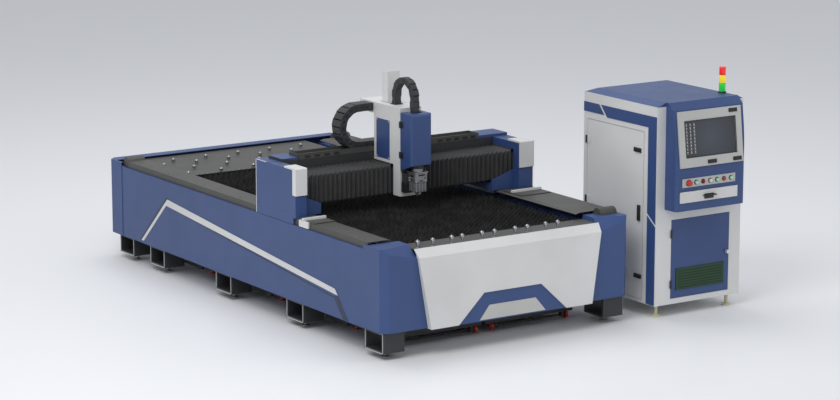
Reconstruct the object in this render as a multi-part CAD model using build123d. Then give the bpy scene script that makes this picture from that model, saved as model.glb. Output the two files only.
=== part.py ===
from build123d import *
import math
import os

# Flatbed laser sheet cutter with a gantry, a cutting head and a separate control cabinet.
# All sizes are millimetres. X runs across the bed, Y from front to back, Z up from the floor.
# The model is drawn from the bed's front left corner and shifted at the end, so that the
# origin lies under the middle of the whole machine.

# Bed
BED_WIDTH = 2280.0
BED_LENGTH = 4370.0
BED_BOTTOM = 212.0
PANEL_TOP = 817.0
POST_TOP = 850.0
POST_DEPTH = 270.0
POST_INNER_TOP = 289.0
POST_INNER_BOTTOM = 395.0
REAR_WRAP = 240.0
CORNER_CUT = 53.0
SHEET = 5.0
FIELD_RAISE = 2.0
STRIPE_THICK = 2.0
SEAT = 0.3

# Welded frame
BEAM_INSET = 28.0
BEAM_WIDTH = 190.0
BEAM_TOP = 790.0
BEAM_WALL = 12.0
BEAM_FRONT = 60.0
BEAM_REAR_GAP = 70.0
CROSS_WIDTH = 100.0
CROSS_HEIGHT = 150.0
CROSS_TOP = 690.0
CROSS_CENTRES = (150.0, 1311.0, 2432.0, BED_LENGTH - 950.0, BED_LENGTH - 170.0)
LEG_FRONTS = (48.0, 1188.0, 2309.0, BED_LENGTH - 934.0, BED_LENGTH - 388.0)
LEG_LENGTH = 247.0
LEG_WALL = 18.0
LEG_BOTTOM = 53.0
FOOT_RADIUS = 34.0
FOOT_STUD = 14.0
FOOT_THICK = 14.0

# Front panel and its arch
PANEL_REACH = 48.0
BEVEL_REACH = 27.0
BEVEL_Z = 762.0
PANEL_TOP_Y = 28.0
PANEL_TOP_Z = 826.0
PANEL_BACK = 10.0
ARCH_HALF_BOTTOM = 498.0
ARCH_HALF_TOP = 264.0
ARCH_TOP = 431.0
INSERT_HALF_BOTTOM = 304.0
INSERT_HALF_TOP = 213.0
INSERT_BOTTOM = 222.0
INSERT_TOP = 330.0
TRIM_RECESS = 10.0
TRIM_THICK = 8.0
INSERT_PROUD = 5.0

# Slat table and decks
SLAT_LEFT = 238.0
SLAT_RIGHT = BED_WIDTH - 380.0
SLAT_FRONT = 237.0
SLAT_REAR = BED_LENGTH - 998.0
SLAT_COUNT = 45
SLAT_THICK = 4.0
SLAT_TIP = 835.0
TOOTH_DEPTH = 42.0
TOOTH_COUNT = 16
LEDGE_THICK = 12.0
LEDGE_REACH = 42.0
LEDGE_TOP = 800.0
DECK_THICK = 5.0
FRONT_DECK_TOP = 820.0
REAR_DECK_TOP = 830.0
REAR_DECK_END = BED_LENGTH - 114.0

# Ball units that carry the sheet on and off the table
BALL_RADIUS = 14.0
CUP_RADIUS = 18.0
FRONT_UNIT_HEIGHT = 62.0
REAR_UNIT_HEIGHT = 34.0
FRONT_UNIT_Y = 75.0
FRONT_UNIT_X = (352, 485, 656, 751, 931, 1045, 1235, 1349, 1520, 1634)
REAR_UNIT_ROWS = (
    (BED_LENGTH - 950.0, 261.0, 314.0),
    (BED_LENGTH - 522.0, 261.0, 314.0),
    (BED_LENGTH - 730.0, 437.0, 318.0),
    (BED_LENGTH - 361.0, 437.0, 318.0),
)
REAR_UNITS_PER_ROW = 5

# Rail covers and guide rails
COVER_TOP = 869.0
COVER_SHEET = 4.0
COVER_OUTER = 20.0
COVER_FLAT_LEFT = 170.0
COVER_FLAT_RIGHT = 297.0
LIP_RUN = 36.0
LIP_DROP = 9.0
COVER_FLANGE = 34.0
COVER_FRONT = 238.0
COVER_REAR = BED_LENGTH - 331.0
HOOD_RADIUS = 50.0
HOOD_WIDTH = 156.0
RAIL_CENTRE = 130.0
RAIL_WIDTH = 30.0
RAIL_HEIGHT = 28.0

# Slag carts
CART_TOP = 200.0
CART_FLOOR = 66.0
CART_SHEET = 5.0
CART_LEFT = 290.0
CART_GAP = 30.0
CART_WIDTH = (BED_WIDTH - 2 * CART_LEFT - CART_GAP) / 2
CART_FRONT = 350.0
CART_REAR = SLAT_REAR + 128.0
WHEEL_RADIUS = 30.0
WHEEL_WIDTH = 24.0
WHEEL_INSET = 90.0
WHEEL_SPACING = CART_WIDTH - 127.0
AXLE_RADIUS = 8.0
AXLE_STATIONS = (400.0, 980.0, 2110.0, CART_REAR - 250.0)
KEEL_FRONTS = (969.0, 2125.0, CART_REAR - 233.0)
KEEL_LENGTH = 310.0
KEEL_BOTTOM = 45.0

# Fume duct collar
DUCT_RADIUS = 100.0
DUCT_WALL = 3.0
DUCT_LENGTH = 80.0
DUCT_Z = 560.0
DUCT_FLANGE = 126.0

# Gantry
GANTRY_FLOOR = 871.0
GANTRY_TOP = 1246.0
END_FRONT = 1247.0
END_REAR = 1843.0
END_WIDTH = 103.0
END_RIGHT = BED_WIDTH - 35.0
RIGHT_END_LEFT = END_RIGHT - 140.0
SKIRT_FRONT = 1283.0
SKIRT_THICK = 15.0
SKIRT_BOTTOM = 820.0
WING_FRONT = 1311.0
WING_THICK = 17.0
WING_WIDTH = 169.0
WING_RIGHT_WIDTH = 220.0
WING_INNER_TOP = 955.0
WING_OUTER_TOP = 1022.0
BEAM_BOTTOM = 930.0
GANTRY_BEAM_FRONT = 1400.0
GANTRY_BEAM_REAR = 1820.0
SHELF_TOP = 1140.0
RIDGE_FRONT = 1615.0
SHOULDER_TOP = 1268.0
LEFT_SHOULDER = END_WIDTH + 147.0
RIGHT_SHOULDER = RIGHT_END_LEFT - 148.0
CAP_FRONT = 1235.0
CAP_BOTTOM = 1047.0
CAP_TOP = 1260.0
CAP_DEPTH = 172.0
CAP_ARM = 40.0
CAP_RADIUS = 10.0
SADDLE_BOTTOM = 839.0
SADDLE_THICK = 12.0
RISER_THICK = 8.0
RISER_GAP = 4.0
BLOCK_WIDTH = 90.0
BLOCK_LENGTH = 110.0
BLOCK_BOTTOM = 796.0
BLOCK_FRONTS = (1340.0, 1680.0)
FOOT_PLATE_FRONT = 998.0
STRIP_FRONT = 1130.0
STRIP_REACH = 189.0
STRIP_DEPTH = 20.0
STRIP_HEIGHT = 18.0
X_RAIL_HEIGHT = 28.0
X_RAIL_WIDTH = 30.0
X_RAIL_CENTRES = (1000.0, 1100.0)

# Bellows over the gantry's rails
BELLOWS_FRONT = 1330.0
BELLOWS_TOP = 1183.0
BELLOWS_BOTTOM = 955.0
BELLOWS_REAR = 1608.0
PLEAT_DEPTH = 25.0
PLEAT_PITCH = 43.0
BELLOWS_WALL = 4.0

# Energy chains and their tray
TRAY_SIDE = 4.0
TRAY_TOP = 1290.0
TRAY_FLOOR = 1268.0
CHAIN_FRONT = 1615.0
CHAIN_WIDTH = 129.0
CHAIN_HEIGHT = 62.0
CHAIN_RADIUS = 152.0
CHAIN_BEND_X = 819.0
CHAIN_END_X = 1250.0
Z_CHAIN_WIDTH = 60.0
Z_CHAIN_HEIGHT = 50.0
Z_CHAIN_RADIUS = 129.0
Z_CHAIN_X = 1045.0
Z_CHAIN_Y = 1297.0
LINK_GAP = 6.0

# Carriage and head
CARRIAGE_LEFT = 950.0
CARRIAGE_RIGHT = 1145.0
CARRIAGE_FRONT = 1230.0
CARRIAGE_REAR = 1608.0
CARRIAGE_TOP = 1617.0
Z_CHAIN_RISE = 257.0
Z_CHAIN_TOP = CARRIAGE_TOP + Z_CHAIN_RISE
CARRIAGE_BOX_BOTTOM = 1186.0
APRON_BOTTOM = 940.0
TOP_PLATE_REAR = 1814.0
TOP_PLATE_THICK = 25.0
INLAY_THICK = 1.5
INLAY_FRONT = CARRIAGE_FRONT + 151.0
INLAY_REAR = CARRIAGE_REAR - 36.0
INLAY_BOTTOM = CARRIAGE_BOX_BOTTOM + 25.0
INLAY_TOP = CARRIAGE_TOP - 94.0
MOTOR_FRONT = 1520.0
MOTOR_DEPTH = 80.0
MOTOR_LEFT = 1017.0
MOTOR_WIDTH = 122.0
MOTOR_TOP = 1886.0
Z_PLATE_THICK = 23.0
Z_PLATE_BOTTOM = 1130.0
Z_PLATE_TOP = 1600.0
Z_PLATE_MARGIN = 10.0
COVER_SHELL = 4.0
COVER_DEPTH = 152.0
COVER_BACK = 1225.0
COVER_HEAD_TOP = 1610.0
COVER_FRONT_BOTTOM = 1205.0
COVER_BACK_BOTTOM = 1150.0
COVER_RADIUS = 20.0
HINGE_RADIUS = 6.0
HINGE_HEIGHTS = (1250.0, 1490.0)
HINGE_LENGTH = 50.0
HEAD_X = 1048.0
HEAD_Y = 1135.0
HEAD_RADIUS = 60.0
HEAD_STEM = 45.0
HEAD_BOTTOM = 992.0
HEAD_TOP = 1125.0
NOZZLE_TIP = 953.0
CLAMP_BOTTOM = 1175.0
CLAMP_TOP = 1235.0
CLAMP_WALL = 7.0
CLAMP_HALF = 50.0

# Control cabinet
CAB_GAP = 220.0
CAB_LEFT = BED_WIDTH + CAB_GAP
CAB_WIDTH = 853.0
CAB_RIGHT = CAB_LEFT + CAB_WIDTH
CAB_FRONT = -38.0
CAB_DEPTH = 943.0
CAB_REAR = CAB_FRONT + CAB_DEPTH
CAB_BOTTOM = 100.0
CAB_TOP = 1682.0
CAB_WALL = 22.0
ROOF_TOP = 1715.0
ROOF_BEVEL = 80.0
CONSOLE_LEFT = CAB_LEFT + 84.0
CONSOLE_RIGHT = CAB_RIGHT - 75.0
CONSOLE_WIDTH = CONSOLE_RIGHT - CONSOLE_LEFT
CONSOLE_BOTTOM = 870.0
CONSOLE_REACH = 143.0
CONSOLE_TOP_REACH = 86.0
CONSOLE_BEND = 1200.0
CONSOLE_TOP = 1660.0
CONSOLE_RADIUS = 40.0
BEZEL_WIDTH = CONSOLE_WIDTH - 65.0
BEZEL_HEIGHT = 440.0
BEZEL_THICK = 12.0
SCREEN_WIDTH = BEZEL_WIDTH - 128.0
SCREEN_HEIGHT = BEZEL_HEIGHT - 160.0
SCREEN_THICK = 6.0
BUTTON_PLATE_WIDTH = CONSOLE_WIDTH - 167.0
BUTTON_PLATE_BOTTOM = 1058.0
BUTTON_PLATE_TOP = 1126.0
PLATE_THICK = 4.0
BUTTON_Z = 1092.0
STOP_X = CONSOLE_LEFT + 119.0
BUTTON_FIRST_X = STOP_X + 72.0
BUTTON_PITCH = (CONSOLE_WIDTH - 346.5) / 5
BUTTON_RADIUS = 13.0
BUTTON_LENGTH = 11.0
BUTTON_TRAVEL = 4.0
STEM_RADIUS = 7.0
STEM_LENGTH = 30.0
STOP_RADIUS = 22.0
STOP_LENGTH = 18.0
DRAWER_LEFT = CONSOLE_LEFT + 36.0
DRAWER_WIDTH = CONSOLE_WIDTH - 122.0
DRAWER_BOTTOM = 936.0
DRAWER_TOP = 1024.0
DRAWER_DEPTH = 330.0
DRAWER_WALL = 6.0
DRAWER_GAP = 3.0
HANDLE_REACH = 26.0
HANDLE_HALF = 60.0
HANDLE_BOTTOM = 976.0
HANDLE_THICK = 8.0
DOOR_THICK = 18.0
DOOR_GAP = 2.0
SIDE_DOOR_FRONT = CAB_FRONT + 163.0
SIDE_DOOR_REAR = CAB_REAR - 47.0
SIDE_DOOR_BOTTOM = 128.0
SIDE_DOOR_TOP = 1470.0
SIDE_HINGES = (786.0, 1274.0)
SIDE_LATCHES = ((203.0, 1315.0), (184.0, 306.0))
LATCH_RADIUS = 13.0
LATCH_PROUD = 6.0
SIDE_HANDLE_PROUD = 14.0
SIDE_HANDLE_SPAN = (160.0, 184.0)
SIDE_HANDLE_BOTTOM = 757.0
SIDE_HANDLE_TOP = 877.0
LOWER_DOOR_LEFT = CAB_LEFT + 157.0
LOWER_DOOR_RIGHT = CAB_RIGHT - 114.0
LOWER_DOOR_BOTTOM = 145.0
LOWER_DOOR_TOP = 776.0
LOWER_HINGES = (230.0, 635.0)
KNUCKLE_RADIUS = 8.0
KNUCKLE_LENGTH = 60.0
VENT_LEFT = LOWER_DOOR_LEFT + 49.0
VENT_RIGHT = LOWER_DOOR_RIGHT - 52.0
VENT_BOTTOM = 208.0
VENT_TOP = 381.0
VENT_SLOTS = 7
BAND_THICK = 4.0
BEACON_X = CAB_RIGHT - 104.0
BEACON_Y = CAB_FRONT + 133.0
BEACON_RADIUS = 27.0
BEACON_LENS = 64.0
BEACON_BASE = 12.0
CAB_FOOT_RADIUS = 35.0
SOURCE_LEFT = CAB_LEFT + 200.0
SOURCE_RIGHT = CAB_RIGHT - 153.0
SOURCE_FRONT = CAB_FRONT + 258.0
SOURCE_REAR = CAB_REAR - 105.0
SOURCE_TOP = 600.0
SOURCE_EDGE = 8.0

RIGHT_BEAM_LEFT = BED_WIDTH - BEAM_INSET - BEAM_WIDTH
BEAM_REAR = BED_LENGTH - BEAM_REAR_GAP
BED_MIDDLE = BED_WIDTH / 2


def box(x0, x1, y0, y1, z0, z1):
    corner = (Align.MIN, Align.MIN, Align.MIN)
    return Pos(x0, y0, z0) * Box(x1 - x0, y1 - y0, z1 - z0, align=corner)


def along_x(outline, x0, x1):
    # The outline is a list of (y, z) points.
    face = Plane.YZ.offset(x0) * make_face(Polyline(*outline, close=True))
    return extrude(face, amount=x1 - x0, dir=(1, 0, 0))


def along_y(outline, y0, y1):
    # The outline is a list of (x, z) points.
    face = Plane.XZ.offset(-y0) * make_face(Polyline(*outline, close=True))
    return extrude(face, amount=y1 - y0, dir=(0, 1, 0))


def along_z(outline, z0, z1):
    # The outline is a list of (x, y) points.
    face = Plane.XY.offset(z0) * make_face(Polyline(*outline, close=True))
    return extrude(face, amount=z1 - z0, dir=(0, 0, 1))


def rod(start, direction, radius, length):
    up = (Align.CENTER, Align.CENTER, Align.MIN)
    return Plane(origin=start, z_dir=direction) * Cylinder(radius, length, align=up)


def turned(x, y, outline):
    # A turned piece about a vertical axis, from a list of (radius, z) points.
    face = Plane.XZ * make_face(Polyline(*outline, close=True))
    return Pos(x, y, 0) * revolve(face, Axis.Z)


def mirrored(shape):
    return Pos(BED_WIDTH, 0, 0) * mirror(shape, about=Plane.YZ)


def both_sides(shape):
    return [shape, mirrored(shape)]


# Welded bed frame: two box beams joined by cross tubes.
def bed_frame():
    beams = []
    for left in (BEAM_INSET, RIGHT_BEAM_LEFT):
        outer = box(left, left + BEAM_WIDTH, BEAM_FRONT, BEAM_REAR, BED_BOTTOM, BEAM_TOP)
        inner = box(
            left + BEAM_WALL,
            left + BEAM_WIDTH - BEAM_WALL,
            BEAM_FRONT - SHEET,
            BEAM_REAR + SHEET,
            BED_BOTTOM + BEAM_WALL,
            BEAM_TOP - BEAM_WALL,
        )
        beams.append(outer - inner)
    frame = beams[0] + beams[1]
    start = BEAM_INSET + BEAM_WIDTH
    for centre in CROSS_CENTRES:
        front = centre - CROSS_WIDTH / 2
        back = centre + CROSS_WIDTH / 2
        tube = box(start, RIGHT_BEAM_LEFT, front, back, CROSS_TOP - CROSS_HEIGHT, CROSS_TOP)
        frame += tube
    return frame


def leg_boxes():
    legs = []
    for left in (BEAM_INSET, RIGHT_BEAM_LEFT):
        for front in LEG_FRONTS:
            outer = box(left, left + BEAM_WIDTH, front, front + LEG_LENGTH, LEG_BOTTOM, BED_BOTTOM)
            inner = box(
                left - 1,
                left + BEAM_WIDTH + 1,
                front + LEG_WALL,
                front + LEG_LENGTH - LEG_WALL,
                LEG_BOTTOM + LEG_WALL,
                BED_BOTTOM - LEG_WALL,
            )
            legs.append(outer - inner)
    return legs


def levelling_feet():
    profile = [
        (0, 0),
        (FOOT_RADIUS, 0),
        (FOOT_RADIUS, FOOT_THICK / 2),
        (FOOT_STUD, FOOT_THICK),
        (FOOT_STUD, LEG_BOTTOM),
        (0, LEG_BOTTOM),
    ]
    feet = []
    for left in (BEAM_INSET, RIGHT_BEAM_LEFT):
        for front in LEG_FRONTS:
            feet.append(turned(left + BEAM_WIDTH / 2, front + LEG_LENGTH / 2, profile))
    return feet


# Side sheets with a raised field, and the folded sheet round the back.
STRIPE_START = (637.0, 388.0)
STRIPE_CORNER = (678.0, 433.0)
STRIPE_PEAK = (3318.0, 667.0)
STRIPE_INNER_PEAK = (3338.0, 611.0)
STRIPE_FOOT = (3788.0, 238.0)
STRIPE_FOOT_WIDTH = 40.0
FIELD_START = (488.0, 217.0)


def side_panel():
    outer = FIELD_RAISE + STRIPE_THICK
    rear = BED_LENGTH - REAR_WRAP
    sheet = box(outer, outer + SHEET, POST_DEPTH, rear, BED_BOTTOM, PANEL_TOP)
    lower_fold = box(outer + SHEET, BEAM_INSET, POST_DEPTH, rear, BED_BOTTOM, BED_BOTTOM + SHEET)
    upper_fold = box(outer + SHEET, COVER_OUTER, POST_DEPTH, rear, PANEL_TOP - SHEET, PANEL_TOP)
    field_outline = [FIELD_START, STRIPE_START, STRIPE_CORNER, STRIPE_PEAK, STRIPE_FOOT]
    field_outline.append((STRIPE_FOOT[0], FIELD_START[1]))
    field = along_x(field_outline, STRIPE_THICK, outer)
    return sheet + lower_fold + upper_fold + field


def rear_panel():
    front = BED_LENGTH - REAR_WRAP
    outer = [
        (0, front),
        (BED_WIDTH, front),
        (BED_WIDTH, BED_LENGTH - CORNER_CUT),
        (BED_WIDTH - CORNER_CUT, BED_LENGTH),
        (CORNER_CUT, BED_LENGTH),
        (0, BED_LENGTH - CORNER_CUT),
    ]
    bend = CORNER_CUT + SHEET * (1 - math.sqrt(0.5)) * math.sqrt(2)
    inner = [
        (SHEET, front - 1),
        (BED_WIDTH - SHEET, front - 1),
        (BED_WIDTH - SHEET, BED_LENGTH - bend),
        (BED_WIDTH - bend, BED_LENGTH - SHEET),
        (bend, BED_LENGTH - SHEET),
        (SHEET, BED_LENGTH - bend),
    ]
    wrap = along_z(outer, BED_BOTTOM, POST_TOP) - along_z(inner, BED_BOTTOM - 1, POST_TOP - SHEET)
    wrap -= box(POST_DEPTH, BED_WIDTH - POST_DEPTH, front - 1, REAR_DECK_END, PANEL_TOP, POST_TOP + 1)
    wrap -= box(
        COVER_OUTER, POST_DEPTH + 1, front - 1, REAR_DECK_END, POST_TOP - SHEET - 1, POST_TOP + 1
    )
    wrap -= box(
        BED_WIDTH - POST_DEPTH - 1,
        BED_WIDTH - COVER_OUTER,
        front - 1,
        REAR_DECK_END,
        POST_TOP - SHEET - 1,
        POST_TOP + 1,
    )
    wrap -= rod((BED_MIDDLE, BED_LENGTH - 50, DUCT_Z), (0, 1, 0), DUCT_RADIUS + SEAT, 100)
    return wrap


def outer_panels():
    return both_sides(side_panel()) + [rear_panel()]


def side_stripes():
    outline = [
        STRIPE_START,
        STRIPE_CORNER,
        STRIPE_PEAK,
        STRIPE_FOOT,
        (STRIPE_FOOT[0] - STRIPE_FOOT_WIDTH, STRIPE_FOOT[1]),
        STRIPE_INNER_PEAK,
    ]
    return both_sides(along_x(outline, 0, STRIPE_THICK))


# Front corner posts: folded shells with a slanted inner side and a sloped front top.
CHAMFER_LOW = 756.0
CHAMFER_LOW_X = 302.0
CHAMFER_HIGH = 814.0
CHAMFER_HIGH_X = 52.0
CHAMFER_RISE = 0.9


def post_form(inset):
    top = POST_TOP - inset
    slope = (POST_INNER_BOTTOM - POST_INNER_TOP) / (PANEL_TOP_Z - BED_BOTTOM)
    upper_x = POST_INNER_TOP - (POST_TOP - PANEL_TOP_Z) * slope - inset
    low = BED_BOTTOM + SHEET - 2 * inset
    lower_x = POST_INNER_BOTTOM - (low - BED_BOTTOM) * slope - inset
    front_view = [(inset, low), (lower_x, low), (upper_x, top), (inset, top)]
    depth = POST_DEPTH + inset
    body = along_y(front_view, inset, depth)
    cut = CORNER_CUT + inset
    plan = [(inset, cut), (cut, inset), (lower_x, inset), (lower_x, depth), (inset, depth)]
    body = body & along_z(plan, low, top)
    fall = (CHAMFER_LOW - CHAMFER_HIGH) / (CHAMFER_LOW_X - CHAMFER_HIGH_X)
    normal = Vector(fall, CHAMFER_RISE, -1)
    height = CHAMFER_HIGH - inset * 1.4
    slope_plane = Plane(origin=(CHAMFER_HIGH_X, 0, height), z_dir=normal)
    return split(body, bisect_by=slope_plane, keep=Keep.TOP)


def corner_post(cover_flat, hooded):
    shell = post_form(0) - post_form(SHEET)
    if hooded:
        left = BEAM_INSET - SEAT
        front = COVER_FRONT - 2 * HOOD_RADIUS - SEAT
        shell -= box(left, left + HOOD_WIDTH + 3 * SEAT, front, POST_DEPTH + 1, LEDGE_TOP, POST_TOP + 1)
    cover_end = COVER_OUTER + cover_flat + LIP_RUN + SEAT
    shell -= box(COVER_OUTER - SEAT, cover_end, COVER_FRONT - SEAT, POST_DEPTH + 1, BED_BOTTOM, POST_TOP + 1)
    shell -= box(
        cover_end, POST_INNER_BOTTOM + 1, SLAT_FRONT - SHEET, POST_DEPTH + 1, CROSS_TOP, POST_TOP + 1
    )
    passage = box(
        BEAM_INSET + BEAM_WIDTH,
        POST_INNER_BOTTOM + 1,
        CROSS_CENTRES[0] - CROSS_WIDTH / 2 - SHEET,
        POST_DEPTH + 1,
        BED_BOTTOM - 1,
        LEDGE_TOP,
    )
    return shell - passage


def corner_posts():
    return [corner_post(COVER_FLAT_LEFT, False), mirrored(corner_post(COVER_FLAT_RIGHT, True))]


# White front panel: a shallow folded tray with slanted ends and an arch cut out of its foot.
def end_outline(inset, top, bottom):
    slope = (POST_INNER_BOTTOM - POST_INNER_TOP) / (PANEL_TOP_Z - BED_BOTTOM)
    low = POST_INNER_BOTTOM + (BED_BOTTOM - bottom) * slope + inset
    high = POST_INNER_TOP - (top - PANEL_TOP_Z) * slope + inset
    return [(low, bottom), (BED_WIDTH - low, bottom), (BED_WIDTH - high, top), (high, top)]


def arch_outline(half_bottom, half_top, bottom, top):
    return [
        (BED_MIDDLE - half_bottom, bottom),
        (BED_MIDDLE + half_bottom, bottom),
        (BED_MIDDLE + half_top, top),
        (BED_MIDDLE - half_top, top),
    ]


def front_panel():
    steepness = (PANEL_TOP_Z - BEVEL_Z) / (PANEL_TOP_Y + BEVEL_REACH)
    drop = SHEET * math.sqrt(1 + steepness**2)

    def bevel_z(y):
        return PANEL_TOP_Z + (y - PANEL_TOP_Y) * steepness

    profile = [
        (PANEL_TOP_Y, PANEL_TOP_Z),
        (-BEVEL_REACH, BEVEL_Z),
        (-PANEL_REACH, BED_BOTTOM),
        (PANEL_BACK, BED_BOTTOM),
        (PANEL_BACK, bevel_z(PANEL_BACK) - 2 * drop),
        (PANEL_TOP_Y, PANEL_TOP_Z - drop),
    ]
    hollow_back = PANEL_BACK + SHEET
    hollow = [
        (hollow_back, bevel_z(hollow_back) - drop),
        (-BEVEL_REACH + SHEET, bevel_z(-BEVEL_REACH + SHEET) - drop),
        (-PANEL_REACH + SHEET, BED_BOTTOM - 1),
        (hollow_back, BED_BOTTOM - 1),
    ]
    above = PANEL_TOP_Z + SHEET
    below = BED_BOTTOM - SHEET
    body = along_x(profile, 0, BED_WIDTH) & along_y(
        end_outline(0, above, below), -PANEL_REACH - 1, PANEL_TOP_Y + 1
    )
    cavity = along_x(hollow, 0, BED_WIDTH) & along_y(
        end_outline(SHEET, above, below), -PANEL_REACH - 1, PANEL_TOP_Y + 1
    )
    rim = arch_outline(ARCH_HALF_BOTTOM + SHEET, ARCH_HALF_TOP + SHEET, below, ARCH_TOP + SHEET)
    cavity -= along_y(rim, -PANEL_REACH - 1, PANEL_TOP_Y)
    opening = arch_outline(ARCH_HALF_BOTTOM, ARCH_HALF_TOP, BED_BOTTOM, ARCH_TOP)
    foot = box(
        BED_MIDDLE - ARCH_HALF_BOTTOM,
        BED_MIDDLE + ARCH_HALF_BOTTOM,
        -PANEL_REACH - 1,
        PANEL_TOP_Y,
        below,
        BED_BOTTOM,
    )
    return body - cavity - along_y(opening, -PANEL_REACH - 1, PANEL_TOP_Y) - foot


def panel_lean(z):
    # How far the panel's front face lies behind its lower edge at height z.
    return (z - BED_BOTTOM) * (PANEL_REACH - BEVEL_REACH) / (BEVEL_Z - BED_BOTTOM)


def leaning_slab(front, thick, bottom, top):
    outline = [
        (front + panel_lean(bottom), bottom),
        (front + panel_lean(top), top),
        (front + thick + panel_lean(top), top),
        (front + thick + panel_lean(bottom), bottom),
    ]
    return along_x(outline, 0, BED_WIDTH)


def arch_trim():
    slab = leaning_slab(TRIM_RECESS - PANEL_REACH, TRIM_THICK, BED_BOTTOM, ARCH_TOP)
    outer = arch_outline(ARCH_HALF_BOTTOM, ARCH_HALF_TOP, BED_BOTTOM, ARCH_TOP)
    inner = arch_outline(INSERT_HALF_BOTTOM, INSERT_HALF_TOP, INSERT_BOTTOM, INSERT_TOP)
    return (slab & along_y(outer, -PANEL_REACH, PANEL_BACK)) - along_y(inner, -PANEL_REACH, PANEL_BACK)


def arch_insert():
    front = TRIM_RECESS - PANEL_REACH - INSERT_PROUD
    thick = TRIM_THICK + INSERT_PROUD
    slab = leaning_slab(front, thick, INSERT_BOTTOM, INSERT_TOP)
    outline = arch_outline(INSERT_HALF_BOTTOM, INSERT_HALF_TOP, INSERT_BOTTOM, INSERT_TOP)
    return slab & along_y(outline, -PANEL_REACH - 1, PANEL_BACK)


# Decks: flat sheets on folded webs that stand on the cross tubes.
def deck(left, right, front, back, top, web_centres):
    plate = box(left, right, front, back, top - DECK_THICK, top)
    for centre in web_centres:
        web_front = centre - DECK_THICK / 2
        plate += box(left, right, web_front, web_front + DECK_THICK, CROSS_TOP, top - DECK_THICK)
    return plate


def deck_plates():
    inner = POST_INNER_TOP + 2 * SHEET
    front = deck(
        inner,
        BED_WIDTH - inner,
        PANEL_TOP_Y,
        SLAT_FRONT - SHEET,
        FRONT_DECK_TOP,
        (CROSS_CENTRES[0] - CROSS_WIDTH / 4, CROSS_CENTRES[0] + CROSS_WIDTH / 4),
    )
    rear = deck(
        SLAT_LEFT,
        SLAT_RIGHT,
        SLAT_REAR + SHEET,
        REAR_DECK_END,
        REAR_DECK_TOP,
        (CROSS_CENTRES[3] + CROSS_WIDTH / 4, CROSS_CENTRES[4]),
    )
    return [front, rear]


# Serrated slats: neighbours are set half a tooth apart.
def slat(front, shift):
    bottom = CROSS_TOP + LEDGE_THICK
    valley = SLAT_TIP - TOOTH_DEPTH
    pitch = (SLAT_RIGHT - SLAT_LEFT) / TOOTH_COUNT
    outline = [(SLAT_LEFT, bottom), (SLAT_RIGHT, bottom), (SLAT_RIGHT, valley)]
    if shift:
        outline[2] = (SLAT_RIGHT, SLAT_TIP)
        for step in reversed(range(TOOTH_COUNT)):
            outline.append((SLAT_LEFT + (step + 0.5) * pitch, valley))
            if step > 0:
                outline.append((SLAT_LEFT + step * pitch, SLAT_TIP))
        outline.append((SLAT_LEFT, SLAT_TIP))
    else:
        for step in reversed(range(TOOTH_COUNT)):
            outline.append((SLAT_LEFT + (step + 0.5) * pitch, SLAT_TIP))
            outline.append((SLAT_LEFT + step * pitch, valley))
    return along_y(outline, front, front + SLAT_THICK)


def support_slats():
    pitch = (SLAT_REAR - SLAT_FRONT - SLAT_THICK) / (SLAT_COUNT - 1)
    return [slat(SLAT_FRONT + row * pitch, row % 2) for row in range(SLAT_COUNT)]


def slat_ledges():
    left_wall = SLAT_LEFT - LEDGE_THICK
    back = CROSS_CENTRES[3]
    left = box(left_wall, SLAT_LEFT + LEDGE_REACH, SLAT_FRONT, back, CROSS_TOP, CROSS_TOP + LEDGE_THICK)
    left += box(left_wall, SLAT_LEFT, SLAT_FRONT, SLAT_REAR, CROSS_TOP + LEDGE_THICK, LEDGE_TOP)
    right_wall = SLAT_RIGHT + LEDGE_THICK
    right = box(SLAT_RIGHT - LEDGE_REACH, right_wall, SLAT_FRONT, back, CROSS_TOP, CROSS_TOP + LEDGE_THICK)
    right += box(SLAT_RIGHT, right_wall, SLAT_FRONT, SLAT_REAR, CROSS_TOP + LEDGE_THICK, LEDGE_TOP)
    return [left, right]


# Rail covers with half-round hoods at their ends, and the rails that they keep clean.
def rail_cover(flat_width):
    flat_end = COVER_OUTER + flat_width
    lip_end = flat_end + LIP_RUN
    outline = [
        (COVER_OUTER, BEAM_TOP),
        (COVER_OUTER + COVER_SHEET + COVER_FLANGE, BEAM_TOP),
        (COVER_OUTER + COVER_SHEET + COVER_FLANGE, BEAM_TOP + COVER_SHEET),
        (COVER_OUTER + COVER_SHEET, BEAM_TOP + COVER_SHEET),
        (COVER_OUTER + COVER_SHEET, COVER_TOP - COVER_SHEET),
        (flat_end, COVER_TOP - COVER_SHEET),
        (lip_end, COVER_TOP - COVER_SHEET - LIP_DROP),
        (lip_end, COVER_TOP - LIP_DROP),
        (flat_end, COVER_TOP),
        (COVER_OUTER, COVER_TOP),
    ]
    return along_y(outline, COVER_FRONT, COVER_REAR)


def end_hood(front):
    left = BEAM_INSET + SEAT
    base = box(left, left + HOOD_WIDTH, front, front + 2 * HOOD_RADIUS, BEAM_TOP, POST_TOP)
    roll = rod((left, front + HOOD_RADIUS, POST_TOP), (1, 0, 0), HOOD_RADIUS, HOOD_WIDTH)
    return base + roll


def rail_covers():
    covers = [rail_cover(COVER_FLAT_LEFT), mirrored(rail_cover(COVER_FLAT_RIGHT))]
    covers += both_sides(end_hood(COVER_REAR))
    covers.append(mirrored(end_hood(COVER_FRONT - 2 * HOOD_RADIUS)))
    return covers


def guide_rails():
    left = RAIL_CENTRE - RAIL_WIDTH / 2
    rail = box(left, left + RAIL_WIDTH, COVER_FRONT + SHEET, COVER_REAR - SHEET, BEAM_TOP, BEAM_TOP + RAIL_HEIGHT)
    return both_sides(rail)


# Ball transfer units: a cup on a stem with a loose ball in it, drawn with eight flats to stay light.
def eight_sided(radius, z0, z1):
    return extrude(Plane.XY.offset(z0) * RegularPolygon(radius, 8), amount=z1 - z0, dir=(0, 0, 1))


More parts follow.
